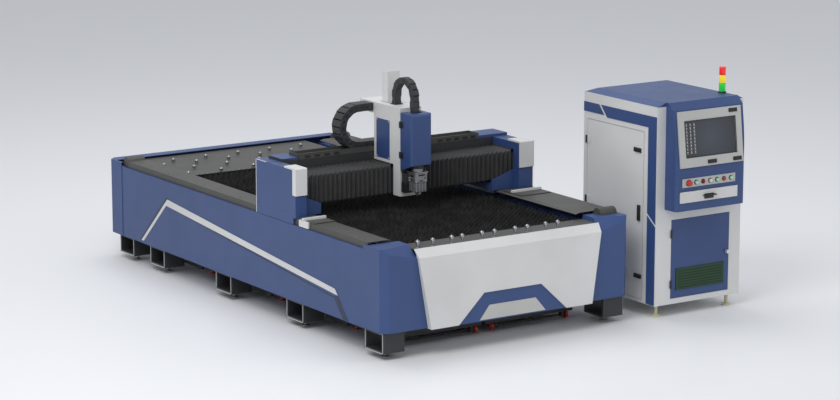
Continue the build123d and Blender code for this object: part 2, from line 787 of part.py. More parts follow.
def faceted_ball(centre):
    rings = []
    for share, spread in ((-0.92, 0.4), (-0.38, 0.94), (0.38, 0.94), (0.92, 0.4)):
        rings.append(Plane.XY.offset(centre + share * BALL_RADIUS) * RegularPolygon(spread * BALL_RADIUS, 8))
    return loft(rings, ruled=True)


def ball_unit(x, y, base, height):
    centre = base + height - BALL_RADIUS
    floor = centre - 0.92 * BALL_RADIUS - SEAT
    cup_top = centre + 0.3 * BALL_RADIUS
    cup_bottom = floor - BALL_RADIUS / 4
    cup = eight_sided(CUP_RADIUS, cup_bottom, cup_top)
    cup -= eight_sided(BALL_RADIUS + SEAT, floor, cup_top + 1)
    cup += eight_sided(CUP_RADIUS / 2, base, cup_bottom)
    return [Pos(x, y, 0) * cup, Pos(x, y, 0) * faceted_ball(centre)]


def ball_units():
    units = []
    for x in FRONT_UNIT_X:
        units += ball_unit(x, FRONT_UNIT_Y, FRONT_DECK_TOP, FRONT_UNIT_HEIGHT)
    for y, first, pitch in REAR_UNIT_ROWS:
        for step in range(REAR_UNITS_PER_ROW):
            units += ball_unit(first + step * pitch, y, REAR_DECK_TOP, REAR_UNIT_HEIGHT)
    return units


def duct_collar():
    middle = (BED_MIDDLE, BED_LENGTH - 2 * SHEET, DUCT_Z)
    collar = rod(middle, (0, 1, 0), DUCT_RADIUS, DUCT_LENGTH + 2 * SHEET)
    collar += rod((BED_MIDDLE, BED_LENGTH, DUCT_Z), (0, 1, 0), DUCT_FLANGE, SHEET)
    bore = rod((BED_MIDDLE, BED_LENGTH - 50, DUCT_Z), (0, 1, 0), DUCT_RADIUS - DUCT_WALL, 200)
    return collar - bore


# Slag carts: open trays on axles, rolled out under the front panel.
def slag_cart():
    right = CART_LEFT + CART_WIDTH
    tray = box(CART_LEFT, right, CART_FRONT, CART_REAR, CART_FLOOR, CART_TOP)
    tray -= box(
        CART_LEFT + CART_SHEET,
        right - CART_SHEET,
        CART_FRONT + CART_SHEET,
        CART_REAR - CART_SHEET,
        CART_FLOOR + CART_SHEET,
        CART_TOP + 1,
    )
    wheel_x = CART_LEFT + WHEEL_INSET
    for station in AXLE_STATIONS:
        for inner in (wheel_x + WHEEL_WIDTH, wheel_x + WHEEL_SPACING - 2 * WHEEL_WIDTH):
            low = WHEEL_RADIUS - 2 * AXLE_RADIUS
            block = box(inner, inner + WHEEL_WIDTH, station - 20, station + 20, low, CART_FLOOR)
            bore = rod((inner - 1, station, WHEEL_RADIUS), (1, 0, 0), AXLE_RADIUS + SEAT, WHEEL_WIDTH + 2)
            tray += block - bore
    for front in KEEL_FRONTS:
        tray += box(CART_LEFT, CART_LEFT + 20, front, front + KEEL_LENGTH, KEEL_BOTTOM, CART_FLOOR)
    return tray


def wheelset(station):
    first = CART_LEFT + WHEEL_INSET
    half = WHEEL_WIDTH / 2
    axle = rod((first - half - 6, station, WHEEL_RADIUS), (1, 0, 0), AXLE_RADIUS, WHEEL_SPACING + WHEEL_WIDTH + 12)
    for centre in (first, first + WHEEL_SPACING):
        axle += rod((centre - half, station, WHEEL_RADIUS), (1, 0, 0), WHEEL_RADIUS, WHEEL_WIDTH)
    return axle


# Gantry ends, beam, caps and the saddles that ride on the bed's rails.
def gantry_end(left, right, wing_from, wing_to, skirt):
    body = box(left, right, END_FRONT, END_REAR, GANTRY_FLOOR, GANTRY_TOP)
    if skirt:
        body += box(left, left + SKIRT_THICK, SKIRT_FRONT, END_REAR, SKIRT_BOTTOM, GANTRY_FLOOR)
    wing_face = [
        (wing_from, GANTRY_FLOOR),
        (wing_to, GANTRY_FLOOR),
        (wing_to, WING_INNER_TOP),
        (wing_from, WING_OUTER_TOP),
    ]
    body += along_y(wing_face, WING_FRONT, WING_FRONT + WING_THICK)
    low = min(wing_from, wing_to)
    high = max(wing_from, wing_to)
    body += box(low, high, WING_FRONT + WING_THICK, END_REAR, GANTRY_FLOOR, BEAM_BOTTOM)
    return body


def gantry_ends():
    edge = STRIPE_THICK + 1
    left = gantry_end(edge, END_WIDTH, END_WIDTH, END_WIDTH + WING_WIDTH, True)
    right = gantry_end(
        RIGHT_END_LEFT, END_RIGHT, RIGHT_END_LEFT, RIGHT_END_LEFT - WING_RIGHT_WIDTH, False
    )
    return [left, right]


def gantry_beam():
    outline = [
        (GANTRY_BEAM_FRONT, BEAM_BOTTOM),
        (GANTRY_BEAM_REAR, BEAM_BOTTOM),
        (GANTRY_BEAM_REAR, GANTRY_TOP),
        (RIDGE_FRONT, GANTRY_TOP),
        (RIDGE_FRONT, SHELF_TOP),
        (GANTRY_BEAM_FRONT, SHELF_TOP),
    ]
    beam = along_x(outline, END_WIDTH, RIGHT_END_LEFT)
    for left, right in ((END_WIDTH, LEFT_SHOULDER), (RIGHT_SHOULDER, RIGHT_END_LEFT)):
        beam += box(left, right, RIDGE_FRONT, GANTRY_BEAM_REAR, GANTRY_TOP, SHOULDER_TOP)
    beam += box(RIGHT_END_LEFT, END_RIGHT, RIDGE_FRONT, GANTRY_BEAM_REAR, GANTRY_TOP, SHOULDER_TOP)
    for centre in X_RAIL_CENTRES:
        low = centre - X_RAIL_WIDTH / 2
        front = GANTRY_BEAM_FRONT - X_RAIL_HEIGHT
        beam += box(END_WIDTH, RIGHT_END_LEFT, front, GANTRY_BEAM_FRONT, low, low + X_RAIL_WIDTH)
    return beam


def corner_cap(left, right, arm):
    rear = CAP_FRONT + CAP_DEPTH
    cap = box(left, right, CAP_FRONT, rear, CAP_BOTTOM, CAP_TOP)
    cap -= box(left - 1, right + 1, END_FRONT, rear + 1, CAP_BOTTOM - 1, GANTRY_TOP)
    front_edges = cap.edges().filter_by(Axis.X).group_by(Axis.Z)[-1].group_by(Axis.Y)[0]
    cap = fillet(front_edges, CAP_RADIUS)
    if arm:
        thick = STRIPE_THICK + 1
        cap += box(left, left + thick, END_FRONT, END_FRONT + CAP_ARM, CAP_BOTTOM, GANTRY_TOP)
    return cap


def corner_caps():
    strip_back = STRIP_FRONT + STRIP_DEPTH
    low = GANTRY_FLOOR + COVER_SHEET
    left_strip = box(0, COVER_OUTER + STRIP_REACH, STRIP_FRONT, strip_back, low, low + STRIP_HEIGHT)
    right_strip = box(RIGHT_SHOULDER, END_RIGHT, STRIP_FRONT, strip_back, low, low + STRIP_HEIGHT)
    caps = [corner_cap(0, END_WIDTH, True), corner_cap(RIGHT_END_LEFT, END_RIGHT, False)]
    return caps + [left_strip, right_strip]


def saddle(rail_centre, riser_left, plate_left, plate_right):
    riser_right = riser_left + RISER_THICK
    near = min(riser_left, rail_centre - BLOCK_WIDTH / 2)
    far = max(riser_right, rail_centre + BLOCK_WIDTH / 2)
    back = BLOCK_FRONTS[-1] + BLOCK_LENGTH
    plate_top = SADDLE_BOTTOM + SADDLE_THICK
    body = box(near, far, BLOCK_FRONTS[0], back, SADDLE_BOTTOM, plate_top)
    body += box(riser_left, riser_right, BLOCK_FRONTS[0], back, plate_top, GANTRY_FLOOR)
    for front in BLOCK_FRONTS:
        left = rail_centre - BLOCK_WIDTH / 2
        block = box(left, left + BLOCK_WIDTH, front, front + BLOCK_LENGTH, BLOCK_BOTTOM, SADDLE_BOTTOM)
        half = RAIL_WIDTH / 2 + SEAT
        rail_top = BEAM_TOP + RAIL_HEIGHT + SEAT
        groove = box(
            rail_centre - half, rail_centre + half, front - 1, front + BLOCK_LENGTH + 1, BLOCK_BOTTOM - 1, rail_top
        )
        body += block - groove
    foot = box(plate_left, plate_right, FOOT_PLATE_FRONT, END_FRONT, GANTRY_FLOOR, GANTRY_FLOOR + COVER_SHEET)
    return [body, foot]


def saddles():
    left_lip = COVER_OUTER + COVER_FLAT_LEFT + LIP_RUN
    right_lip = BED_WIDTH - COVER_OUTER - COVER_FLAT_RIGHT - LIP_RUN
    left = saddle(RAIL_CENTRE, left_lip + RISER_GAP, COVER_OUTER, COVER_OUTER + STRIP_REACH)
    riser = right_lip - RISER_GAP - RISER_THICK
    right = saddle(BED_WIDTH - RAIL_CENTRE, riser, RIGHT_SHOULDER, END_RIGHT)
    return left + right


# Pleated bellows: two crossing zigzag prisms make folds that turn the corner.
def zigzag(start, end, outer, inner):
    pleats = max(2, round((end - start) / PLEAT_PITCH))
    step = (end - start) / pleats
    points = [(start, inner)]
    for fold in range(pleats):
        points.append((start + (fold + 0.5) * step, outer))
        points.append((start + (fold + 1) * step, inner))
    return points


def pleated_block(start, end, offset):
    front = BELLOWS_FRONT + offset
    top = BELLOWS_TOP - offset
    back = BELLOWS_REAR + offset
    low = BELLOWS_BOTTOM - offset
    plan = zigzag(start, end, front, front + PLEAT_DEPTH) + [(end, back), (start, back)]
    rise = zigzag(start, end, top, top - PLEAT_DEPTH) + [(end, low), (start, low)]
    return along_z(plan, low, BELLOWS_TOP) & along_y(rise, BELLOWS_FRONT, back)


def bellows(start, end):
    return pleated_block(start, end, 0) - pleated_block(start, end, BELLOWS_WALL)


def bellows_left():
    return bellows(END_WIDTH, CARRIAGE_LEFT - SEAT)


def bellows_right():
    return bellows(CARRIAGE_RIGHT + SEAT, RIGHT_END_LEFT)


def cable_tray():
    front = CHAIN_FRONT - SEAT - TRAY_SIDE
    back = CHAIN_FRONT + CHAIN_WIDTH + SEAT
    low = GANTRY_TOP
    tray = box(LEFT_SHOULDER, RIGHT_SHOULDER, front + TRAY_SIDE, back, TRAY_FLOOR - TRAY_SIDE, TRAY_FLOOR)
    for wall in (max(front, RIDGE_FRONT - TRAY_SIDE), back):
        tray += box(LEFT_SHOULDER, RIGHT_SHOULDER, wall, wall + TRAY_SIDE, low, TRAY_TOP)
    return tray


# Energy chains: link blocks along a path, joined by a narrower core.
def u_path(start, bend_centre, end, radius, pitch):
    # A straight run, a half turn and a straight run back, in the plane of the bend.
    # The first run starts above the bend's centre and the last one ends below it.
    upper = abs(start - bend_centre)
    lower = abs(end - bend_centre)
    length = upper + math.pi * radius + lower
    count = round(length / pitch)
    points = []
    for index in range(count + 1):
        along = length * index / count
        if along <= upper:
            points.append((upper - along, radius))
        elif along <= upper + math.pi * radius:
            angle = (along - upper) / radius
            points.append((-math.sin(angle) * radius, math.cos(angle) * radius))
        else:
            points.append((along - upper - math.pi * radius, -radius))
    return points


def band_outline(points, half):
    sides = ([], [])
    for index, point in enumerate(points):
        before = points[max(index - 1, 0)]
        after = points[min(index + 1, len(points) - 1)]
        size = math.dist(before, after)
        normal = ((before[1] - after[1]) / size, (after[0] - before[0]) / size)
        sides[0].append((point[0] + normal[0] * half, point[1] + normal[1] * half))
        sides[1].append((point[0] - normal[0] * half, point[1] - normal[1] * half))
    return sides[0] + sides[1][::-1]


def chain_solid(points, height, width):
    core = extrude(make_face(Polyline(*band_outline(points, height * 0.36), close=True)), amount=width * 0.8)
    chain = Pos(0, 0, -width * 0.4) * core
    for start, end in zip(points, points[1:]):
        middle = ((start[0] + end[0]) / 2, (start[1] + end[1]) / 2)
        turn = math.degrees(math.atan2(end[1] - start[1], end[0] - start[0]))
        link = Box(math.dist(start, end) - LINK_GAP, height, width)
        chain += Pos(middle[0], middle[1], 0) * Rot(0, 0, turn) * link
    return chain


def x_chain():
    radius = CHAIN_RADIUS
    points = u_path(CARRIAGE_LEFT - 4 * SEAT, CHAIN_BEND_X, CHAIN_END_X, radius, 52)
    chain = chain_solid(points, CHAIN_HEIGHT, CHAIN_WIDTH - 2 * SEAT)
    centre_z = TRAY_FLOOR + SEAT + CHAIN_HEIGHT / 2 + radius
    plane = Plane(
        origin=(CHAIN_BEND_X, CHAIN_FRONT + CHAIN_WIDTH / 2, centre_z), x_dir=(1, 0, 0), z_dir=(0, -1, 0)
    )
    return plane * chain


def z_chain():
    radius = Z_CHAIN_RADIUS
    centre_z = Z_CHAIN_TOP - Z_CHAIN_HEIGHT / 2 - radius
    points = u_path(CARRIAGE_TOP, centre_z, Z_PLATE_TOP - 40 + SEAT, radius, 45)
    chain = chain_solid(points, Z_CHAIN_HEIGHT, Z_CHAIN_WIDTH)
    plane = Plane(origin=(Z_CHAIN_X, Z_CHAIN_Y, centre_z), x_dir=(0, 0, -1), z_dir=(1, 0, 0))
    return plane * chain


# Carriage, head and cutting nozzle.
def carriage_body():
    outline = [
        (CARRIAGE_FRONT, APRON_BOTTOM),
        (BELLOWS_FRONT, APRON_BOTTOM),
        (BELLOWS_FRONT, CARRIAGE_BOX_BOTTOM),
        (CARRIAGE_REAR, CARRIAGE_BOX_BOTTOM),
        (CARRIAGE_REAR, CARRIAGE_TOP),
        (TOP_PLATE_REAR, CARRIAGE_TOP),
        (TOP_PLATE_REAR, CARRIAGE_TOP + TOP_PLATE_THICK),
        (CARRIAGE_FRONT, CARRIAGE_TOP + TOP_PLATE_THICK),
    ]
    body = along_x(outline, CARRIAGE_LEFT, CARRIAGE_RIGHT)
    rail_front = GANTRY_BEAM_FRONT - X_RAIL_HEIGHT
    for centre in X_RAIL_CENTRES:
        half = X_RAIL_WIDTH / 2 + SEAT
        block = box(
            CARRIAGE_LEFT + 10, CARRIAGE_RIGHT - 10, BELLOWS_FRONT, rail_front + 22, centre - 32, centre + 32
        )
        groove = box(
            CARRIAGE_LEFT, CARRIAGE_RIGHT, rail_front - SEAT, rail_front + 30, centre - half, centre + half
        )
        body += block - groove
    bracket_bottom = CARRIAGE_TOP - CHAIN_HEIGHT
    body += box(
        CARRIAGE_LEFT,
        CARRIAGE_LEFT + 60,
        CARRIAGE_REAR,
        CHAIN_FRONT + CHAIN_WIDTH,
        bracket_bottom,
        CARRIAGE_TOP,
    )
    leg_y = Z_CHAIN_Y + Z_CHAIN_RADIUS
    half_x = Z_CHAIN_WIDTH / 2 + 5
    half_y = Z_CHAIN_HEIGHT / 2 + 6
    body -= box(
        Z_CHAIN_X - half_x,
        Z_CHAIN_X + half_x,
        leg_y - half_y,
        leg_y + half_y,
        CARRIAGE_TOP,
        CARRIAGE_TOP + TOP_PLATE_THICK + 1,
    )
    return body


def carriage_inlay():
    return box(
        CARRIAGE_LEFT - INLAY_THICK, CARRIAGE_LEFT, INLAY_FRONT, INLAY_REAR, INLAY_BOTTOM, INLAY_TOP
    )


def motor_cover():
    low = CARRIAGE_TOP + TOP_PLATE_THICK
    post = box(MOTOR_LEFT, MOTOR_LEFT + MOTOR_WIDTH, MOTOR_FRONT, MOTOR_FRONT + MOTOR_DEPTH, low, MOTOR_TOP)
    return fillet(post.edges().filter_by(Axis.Z), 12)


def z_plate():
    back = CARRIAGE_FRONT - SEAT
    front = back - Z_PLATE_THICK
    left = CARRIAGE_LEFT + Z_PLATE_MARGIN
    plate = box(left, CARRIAGE_RIGHT - Z_PLATE_MARGIN, front, back, Z_PLATE_BOTTOM, Z_PLATE_TOP)
    leg_y = Z_CHAIN_Y - Z_CHAIN_RADIUS
    half_x = Z_CHAIN_WIDTH / 2
    half_y = Z_CHAIN_HEIGHT / 2
    seat_z = Z_PLATE_TOP - 40
    plate += box(Z_CHAIN_X - half_x, Z_CHAIN_X + half_x, leg_y - half_y, front, seat_z - 15, seat_z)
    clamp = box(HEAD_X - CLAMP_HALF, HEAD_X + CLAMP_HALF, HEAD_Y, front, CLAMP_BOTTOM, CLAMP_TOP)
    clamp += rod((HEAD_X, HEAD_Y, CLAMP_BOTTOM), (0, 0, 1), HEAD_STEM + CLAMP_WALL, CLAMP_TOP - CLAMP_BOTTOM)
    bore = rod((HEAD_X, HEAD_Y, CLAMP_BOTTOM - 1), (0, 0, 1), HEAD_STEM + SEAT / 2, CLAMP_TOP)
    plate += clamp - bore
    ear_left = CARRIAGE_LEFT - 2 * HINGE_RADIUS
    for low in HINGE_HEIGHTS:
        plate += box(ear_left, left, COVER_BACK + 2 * SEAT, back, low, low + HINGE_LENGTH)
    return plate


def hinge_line():
    return (CARRIAGE_LEFT - HINGE_RADIUS, COVER_BACK + SEAT - HINGE_RADIUS)


def head_cover():
    front = COVER_BACK - COVER_DEPTH
    side = [
        (front, COVER_FRONT_BOTTOM),
        (COVER_BACK, COVER_BACK_BOTTOM),
        (COVER_BACK, COVER_HEAD_TOP),
        (front, COVER_HEAD_TOP),
    ]
    shell = along_x(side, CARRIAGE_LEFT, CARRIAGE_RIGHT)
    front_edges = shell.edges().group_by(Axis.Y)[0]
    shell = fillet(front_edges.filter_by(Axis.Z) + front_edges.filter_by(Axis.X).group_by(Axis.Z)[-1], COVER_RADIUS)
    wall = COVER_SHELL
    hollow = [
        (front + wall, COVER_BACK_BOTTOM - 10),
        (COVER_BACK + 1, COVER_BACK_BOTTOM - 10),
        (COVER_BACK + 1, COVER_HEAD_TOP - wall),
        (front + wall, COVER_HEAD_TOP - wall),
    ]
    cavity = along_x(hollow, CARRIAGE_LEFT + wall, CARRIAGE_RIGHT - wall)
    inner_edges = cavity.edges().group_by(Axis.Y)[0]
    cavity = fillet(
        inner_edges.filter_by(Axis.Z) + inner_edges.filter_by(Axis.X).group_by(Axis.Z)[-1],
        COVER_RADIUS - wall,
    )
    leg_front = Z_CHAIN_Y - Z_CHAIN_RADIUS - Z_CHAIN_HEIGHT / 2
    reach = Z_CHAIN_X + Z_CHAIN_WIDTH / 2 + 31
    notch = box(
        Z_CHAIN_X - Z_CHAIN_WIDTH / 2 - 3, reach, leg_front - 6, COVER_BACK + 1, COVER_HEAD_TOP - 2 * wall, COVER_HEAD_TOP + 1
    )
    shell = shell - cavity - notch
    axis_x, axis_y = hinge_line()
    for low in HINGE_HEIGHTS:
        shell += rod((axis_x, axis_y, low), (0, 0, 1), HINGE_RADIUS, HINGE_LENGTH)
        shell += box(axis_x, CARRIAGE_LEFT + wall, axis_y - HINGE_RADIUS, axis_y, low, low + HINGE_LENGTH)
    return shell


def cutting_head():
    profile = [
        (0, NOZZLE_TIP),
        (5, NOZZLE_TIP),
        (12, NOZZLE_TIP + 12),
        (28, HEAD_BOTTOM - 7),
        (HEAD_RADIUS * 0.7, HEAD_BOTTOM),
        (HEAD_RADIUS, HEAD_BOTTOM + 10),
        (HEAD_RADIUS, HEAD_TOP - 15),
        (HEAD_RADIUS * 0.85, HEAD_TOP),
        (HEAD_STEM, HEAD_TOP + 5),
        (HEAD_STEM, CLAMP_TOP + 5),
        (0, CLAMP_TOP + 5),
    ]
    return turned(HEAD_X, HEAD_Y, profile)


# Control cabinet.
def door_hole(left, right, front, back, low, high):
    return box(left - DOOR_GAP, right + DOOR_GAP, front - DOOR_GAP, back + DOOR_GAP, low - DOOR_GAP, high + DOOR_GAP)


def cabinet_body():
    wall = CAB_WALL
    shell = box(CAB_LEFT, CAB_RIGHT, CAB_FRONT, CAB_REAR, CAB_BOTTOM, CAB_TOP)
    shell -= box(
        CAB_LEFT + wall, CAB_RIGHT - wall, CAB_FRONT + wall, CAB_REAR - wall, CAB_BOTTOM + wall, CAB_TOP - wall
    )
    shell -= door_hole(
        CAB_LEFT - 10, CAB_LEFT + wall + 1, SIDE_DOOR_FRONT, SIDE_DOOR_REAR, SIDE_DOOR_BOTTOM, SIDE_DOOR_TOP
    )
    shell -= door_hole(
        LOWER_DOOR_LEFT,
        LOWER_DOOR_RIGHT,
        CAB_FRONT - 10,
        CAB_FRONT + wall + 1,
        LOWER_DOOR_BOTTOM,
        LOWER_DOOR_TOP,
    )
    gap = DRAWER_GAP
    shell -= box(
        DRAWER_LEFT - gap,
        DRAWER_LEFT + DRAWER_WIDTH + gap,
        CAB_FRONT - 1,
        CAB_FRONT + wall + 1,
        DRAWER_BOTTOM - gap,
        DRAWER_TOP + gap,
    )
    return shell


def console_front():
    return CAB_FRONT - CONSOLE_REACH


def button_places():
    return [BUTTON_FIRST_X + index * BUTTON_PITCH for index in range(6)]


def console():
    front = console_front()
    outline = [
        (CAB_FRONT, CONSOLE_BOTTOM),
        (front, CONSOLE_BOTTOM),
        (front, CONSOLE_BEND),
        (CAB_FRONT - CONSOLE_TOP_REACH, CONSOLE_TOP),
        (CAB_FRONT - CONSOLE_TOP_REACH / 3, ROOF_TOP),
        (CAB_FRONT, ROOF_TOP),
    ]
    housing = along_x(outline, CONSOLE_LEFT, CONSOLE_RIGHT)
    upright = housing.edges().filter_by(Axis.Z).group_by(Axis.Y)[0]
    housing = fillet(upright, CONSOLE_RADIUS)
    gap = DRAWER_GAP
    housing -= box(
        DRAWER_LEFT - gap,
        DRAWER_LEFT + DRAWER_WIDTH + gap,
        front - 1,
        CAB_FRONT + 1,
        DRAWER_BOTTOM - gap,
        DRAWER_TOP + gap,
    )
    for x in [STOP_X] + button_places():
        housing -= rod((x, front - 1, BUTTON_Z), (0, 1, 0), STEM_RADIUS + SEAT, STEM_LENGTH + 20)
    return housing


def roof():
    bottom = Plane.XY.offset(CAB_TOP) * Pos((CAB_LEFT + CAB_RIGHT) / 2, (CAB_FRONT + CAB_REAR) / 2) * Rectangle(
        CAB_RIGHT - CAB_LEFT, CAB_REAR - CAB_FRONT
    )
    top = Plane.XY.offset(ROOF_TOP) * Pos(
        (CAB_LEFT + CAB_RIGHT) / 2, (CAB_FRONT + CAB_REAR - ROOF_BEVEL) / 2
    ) * Rectangle(CAB_RIGHT - CAB_LEFT - 2 * ROOF_BEVEL, CAB_REAR - CAB_FRONT - ROOF_BEVEL)
    return loft([bottom, top])


BAND_REAR = ((905.0, 1528.0), (905.0, 1605.0), (709.0, 1605.0), (641.0, 1528.0))
BAND_CORNER = (
    (-32.0, 757.0),
    (70.0, 834.0),
    (70.0, 1514.0),
    (600.0, 1514.0),
    (682.0, 1605.0),
    (-32.0, 1605.0),
)
BAND_LOWER = ((-32.0, 106.0), (70.0, 106.0), (70.0, 812.0), (-32.0, 735.0))


def cabinet_hood():
    pieces = [console() + roof()]
    for outline in (BAND_REAR, BAND_CORNER, BAND_LOWER):
        pieces.append(along_x(list(outline), CAB_LEFT - BAND_THICK, CAB_LEFT))
    return pieces


def side_hinge_line():
    return (CAB_LEFT - KNUCKLE_RADIUS - SEAT, SIDE_DOOR_REAR + 4)


def side_door():
    door = box(CAB_LEFT, CAB_LEFT + DOOR_THICK, SIDE_DOOR_FRONT, SIDE_DOOR_REAR, SIDE_DOOR_BOTTOM, SIDE_DOOR_TOP)
    axis_x, axis_y = side_hinge_line()
    for low in SIDE_HINGES:
        high = low + KNUCKLE_LENGTH
        door += rod((axis_x, axis_y, low), (0, 0, 1), KNUCKLE_RADIUS, KNUCKLE_LENGTH)
        door += box(CAB_LEFT - SHEET, CAB_LEFT, SIDE_DOOR_REAR - 40, axis_y, low, high)
    for y, z in SIDE_LATCHES:
        door += rod((CAB_LEFT, y, z), (-1, 0, 0), LATCH_RADIUS, LATCH_PROUD)
    handle_left = CAB_LEFT - SIDE_HANDLE_PROUD
    door += box(handle_left, CAB_LEFT, *SIDE_HANDLE_SPAN, SIDE_HANDLE_BOTTOM, SIDE_HANDLE_TOP)
    return door


def lower_hinge_line():
    return (LOWER_DOOR_LEFT - 4, CAB_FRONT - KNUCKLE_RADIUS - SEAT)


def lower_door():
    door = box(
        LOWER_DOOR_LEFT, LOWER_DOOR_RIGHT, CAB_FRONT, CAB_FRONT + DOOR_THICK, LOWER_DOOR_BOTTOM, LOWER_DOOR_TOP
    )
    axis_x, axis_y = lower_hinge_line()
    for low in LOWER_HINGES:
        high = low + KNUCKLE_LENGTH
        door += rod((axis_x, axis_y, low), (0, 0, 1), KNUCKLE_RADIUS, KNUCKLE_LENGTH)
        door += box(axis_x, LOWER_DOOR_LEFT + 40, CAB_FRONT - SHEET, CAB_FRONT, low, high)
    door += rod((LOWER_DOOR_RIGHT - 20, CAB_FRONT, 460), (0, -1, 0), 14, 22)
    return door


def vent_panel():
    panel = box(VENT_LEFT, VENT_RIGHT, CAB_FRONT - SHEET, CAB_FRONT, VENT_BOTTOM, VENT_TOP)
    pitch = (VENT_TOP - VENT_BOTTOM) / (VENT_SLOTS + 1)
    for index in range(VENT_SLOTS):
        z = VENT_BOTTOM + (index + 1) * pitch
        panel -= box(VENT_LEFT + 20, VENT_RIGHT - 20, CAB_FRONT - SHEET - 1, CAB_FRONT + 1, z - 4, z + 4)
    return panel


def screen_plane():
    front = console_front()
    rise = CONSOLE_TOP - CONSOLE_BEND
    lean = CONSOLE_REACH - CONSOLE_TOP_REACH
    middle = ((CONSOLE_LEFT + CONSOLE_RIGHT) / 2, front + lean / 2, (CONSOLE_BEND + CONSOLE_TOP) / 2)
    return Plane(origin=middle, x_dir=(1, 0, 0), z_dir=(0, -rise, lean))


def monitor_bezel():
    frame = Rectangle(BEZEL_WIDTH, BEZEL_HEIGHT) - Rectangle(SCREEN_WIDTH, SCREEN_HEIGHT)
    return screen_plane() * extrude(frame, amount=BEZEL_THICK)


def screen():
    return screen_plane() * extrude(Rectangle(SCREEN_WIDTH, SCREEN_HEIGHT), amount=SCREEN_THICK)


def control_plate():
    front = console_front()
    middle = (CONSOLE_LEFT + CONSOLE_RIGHT) / 2 - 26
    half = BUTTON_PLATE_WIDTH / 2
    plate = box(middle - half, middle + half, front - PLATE_THICK, front, BUTTON_PLATE_BOTTOM, BUTTON_PLATE_TOP)
    for x in [STOP_X] + button_places():
        plate -= rod((x, front - PLATE_THICK - 1, BUTTON_Z), (0, 1, 0), STEM_RADIUS + SEAT, PLATE_THICK + 2)
    return plate


def pushed_cap(x, radius, length, travel):
    face = console_front() - PLATE_THICK - travel - SEAT
    cap = rod((x, face, BUTTON_Z), (0, -1, 0), radius, length)
    return cap + rod((x, face, BUTTON_Z), (0, 1, 0), STEM_RADIUS, STEM_LENGTH)


def emergency_stop():
    return pushed_cap(STOP_X, STOP_RADIUS, STOP_LENGTH, BUTTON_TRAVEL)


def selector():
    x = button_places()[1]
    knob = pushed_cap(x, BUTTON_RADIUS, BUTTON_LENGTH, 0)
    face = console_front() - PLATE_THICK - SEAT - BUTTON_LENGTH
    return knob + box(x - 4, x + 4, face - 8, face, BUTTON_Z - BUTTON_RADIUS, BUTTON_Z + BUTTON_RADIUS)


def keyboard_drawer():
    front = console_front()
    right = DRAWER_LEFT + DRAWER_WIDTH
    wall = DRAWER_WALL
    tray = box(DRAWER_LEFT, right, front, front + DRAWER_DEPTH, DRAWER_BOTTOM, DRAWER_TOP - 2 * wall)
    tray -= box(
        DRAWER_LEFT + wall,
        right - wall,
        front + wall,
        front + DRAWER_DEPTH - wall,
        DRAWER_BOTTOM + wall,
        DRAWER_TOP,
    )
    tray += box(DRAWER_LEFT, right, front - wall, front, DRAWER_BOTTOM, DRAWER_TOP)
    middle = (DRAWER_LEFT + right) / 2
    tray += box(
        middle - HANDLE_HALF,
        middle + HANDLE_HALF,
        front - wall - HANDLE_REACH,
        front - wall,
        HANDLE_BOTTOM,
        HANDLE_BOTTOM + HANDLE_THICK,
    )
    runner = box(
        DRAWER_LEFT - DRAWER_GAP + SEAT, DRAWER_LEFT, front + 20, front + DRAWER_DEPTH, DRAWER_BOTTOM, DRAWER_BOTTOM + 20
    )
    return tray + runner


def laser_source():
    case = box(SOURCE_LEFT, SOURCE_RIGHT, SOURCE_FRONT, SOURCE_REAR, CAB_BOTTOM + CAB_WALL, SOURCE_TOP)
    return fillet(case.edges().filter_by(Axis.Y), SOURCE_EDGE)


def cabinet_feet():
    feet = []
    profile = [
        (0, 0),
        (CAB_FOOT_RADIUS, 0),
        (CAB_FOOT_RADIUS, FOOT_THICK),
        (FOOT_STUD, FOOT_THICK + 6),
        (FOOT_STUD, CAB_BOTTOM),
        (0, CAB_BOTTOM),
    ]
    inset = 2 * CAB_FOOT_RADIUS
    for x in (CAB_LEFT + inset, CAB_RIGHT - inset):
        for y in (CAB_FRONT + inset, CAB_REAR - inset):
            feet.append(turned(x, y, profile))
    return feet


def beacon_lens(level):
    low = ROOF_TOP + BEACON_BASE + level * (BEACON_LENS + 2)
    lens = rod((BEACON_X, BEACON_Y, low), (0, 0, 1), BEACON_RADIUS, BEACON_LENS)
    return lens + rod((BEACON_X, BEACON_Y, low + BEACON_LENS), (0, 0, 1), BEACON_RADIUS - 3, 2)


def beacon():
    base = rod((BEACON_X, BEACON_Y, ROOF_TOP), (0, 0, 1), BEACON_RADIUS + 6, BEACON_BASE)
    return [base] + [beacon_lens(level) for level in range(3)]


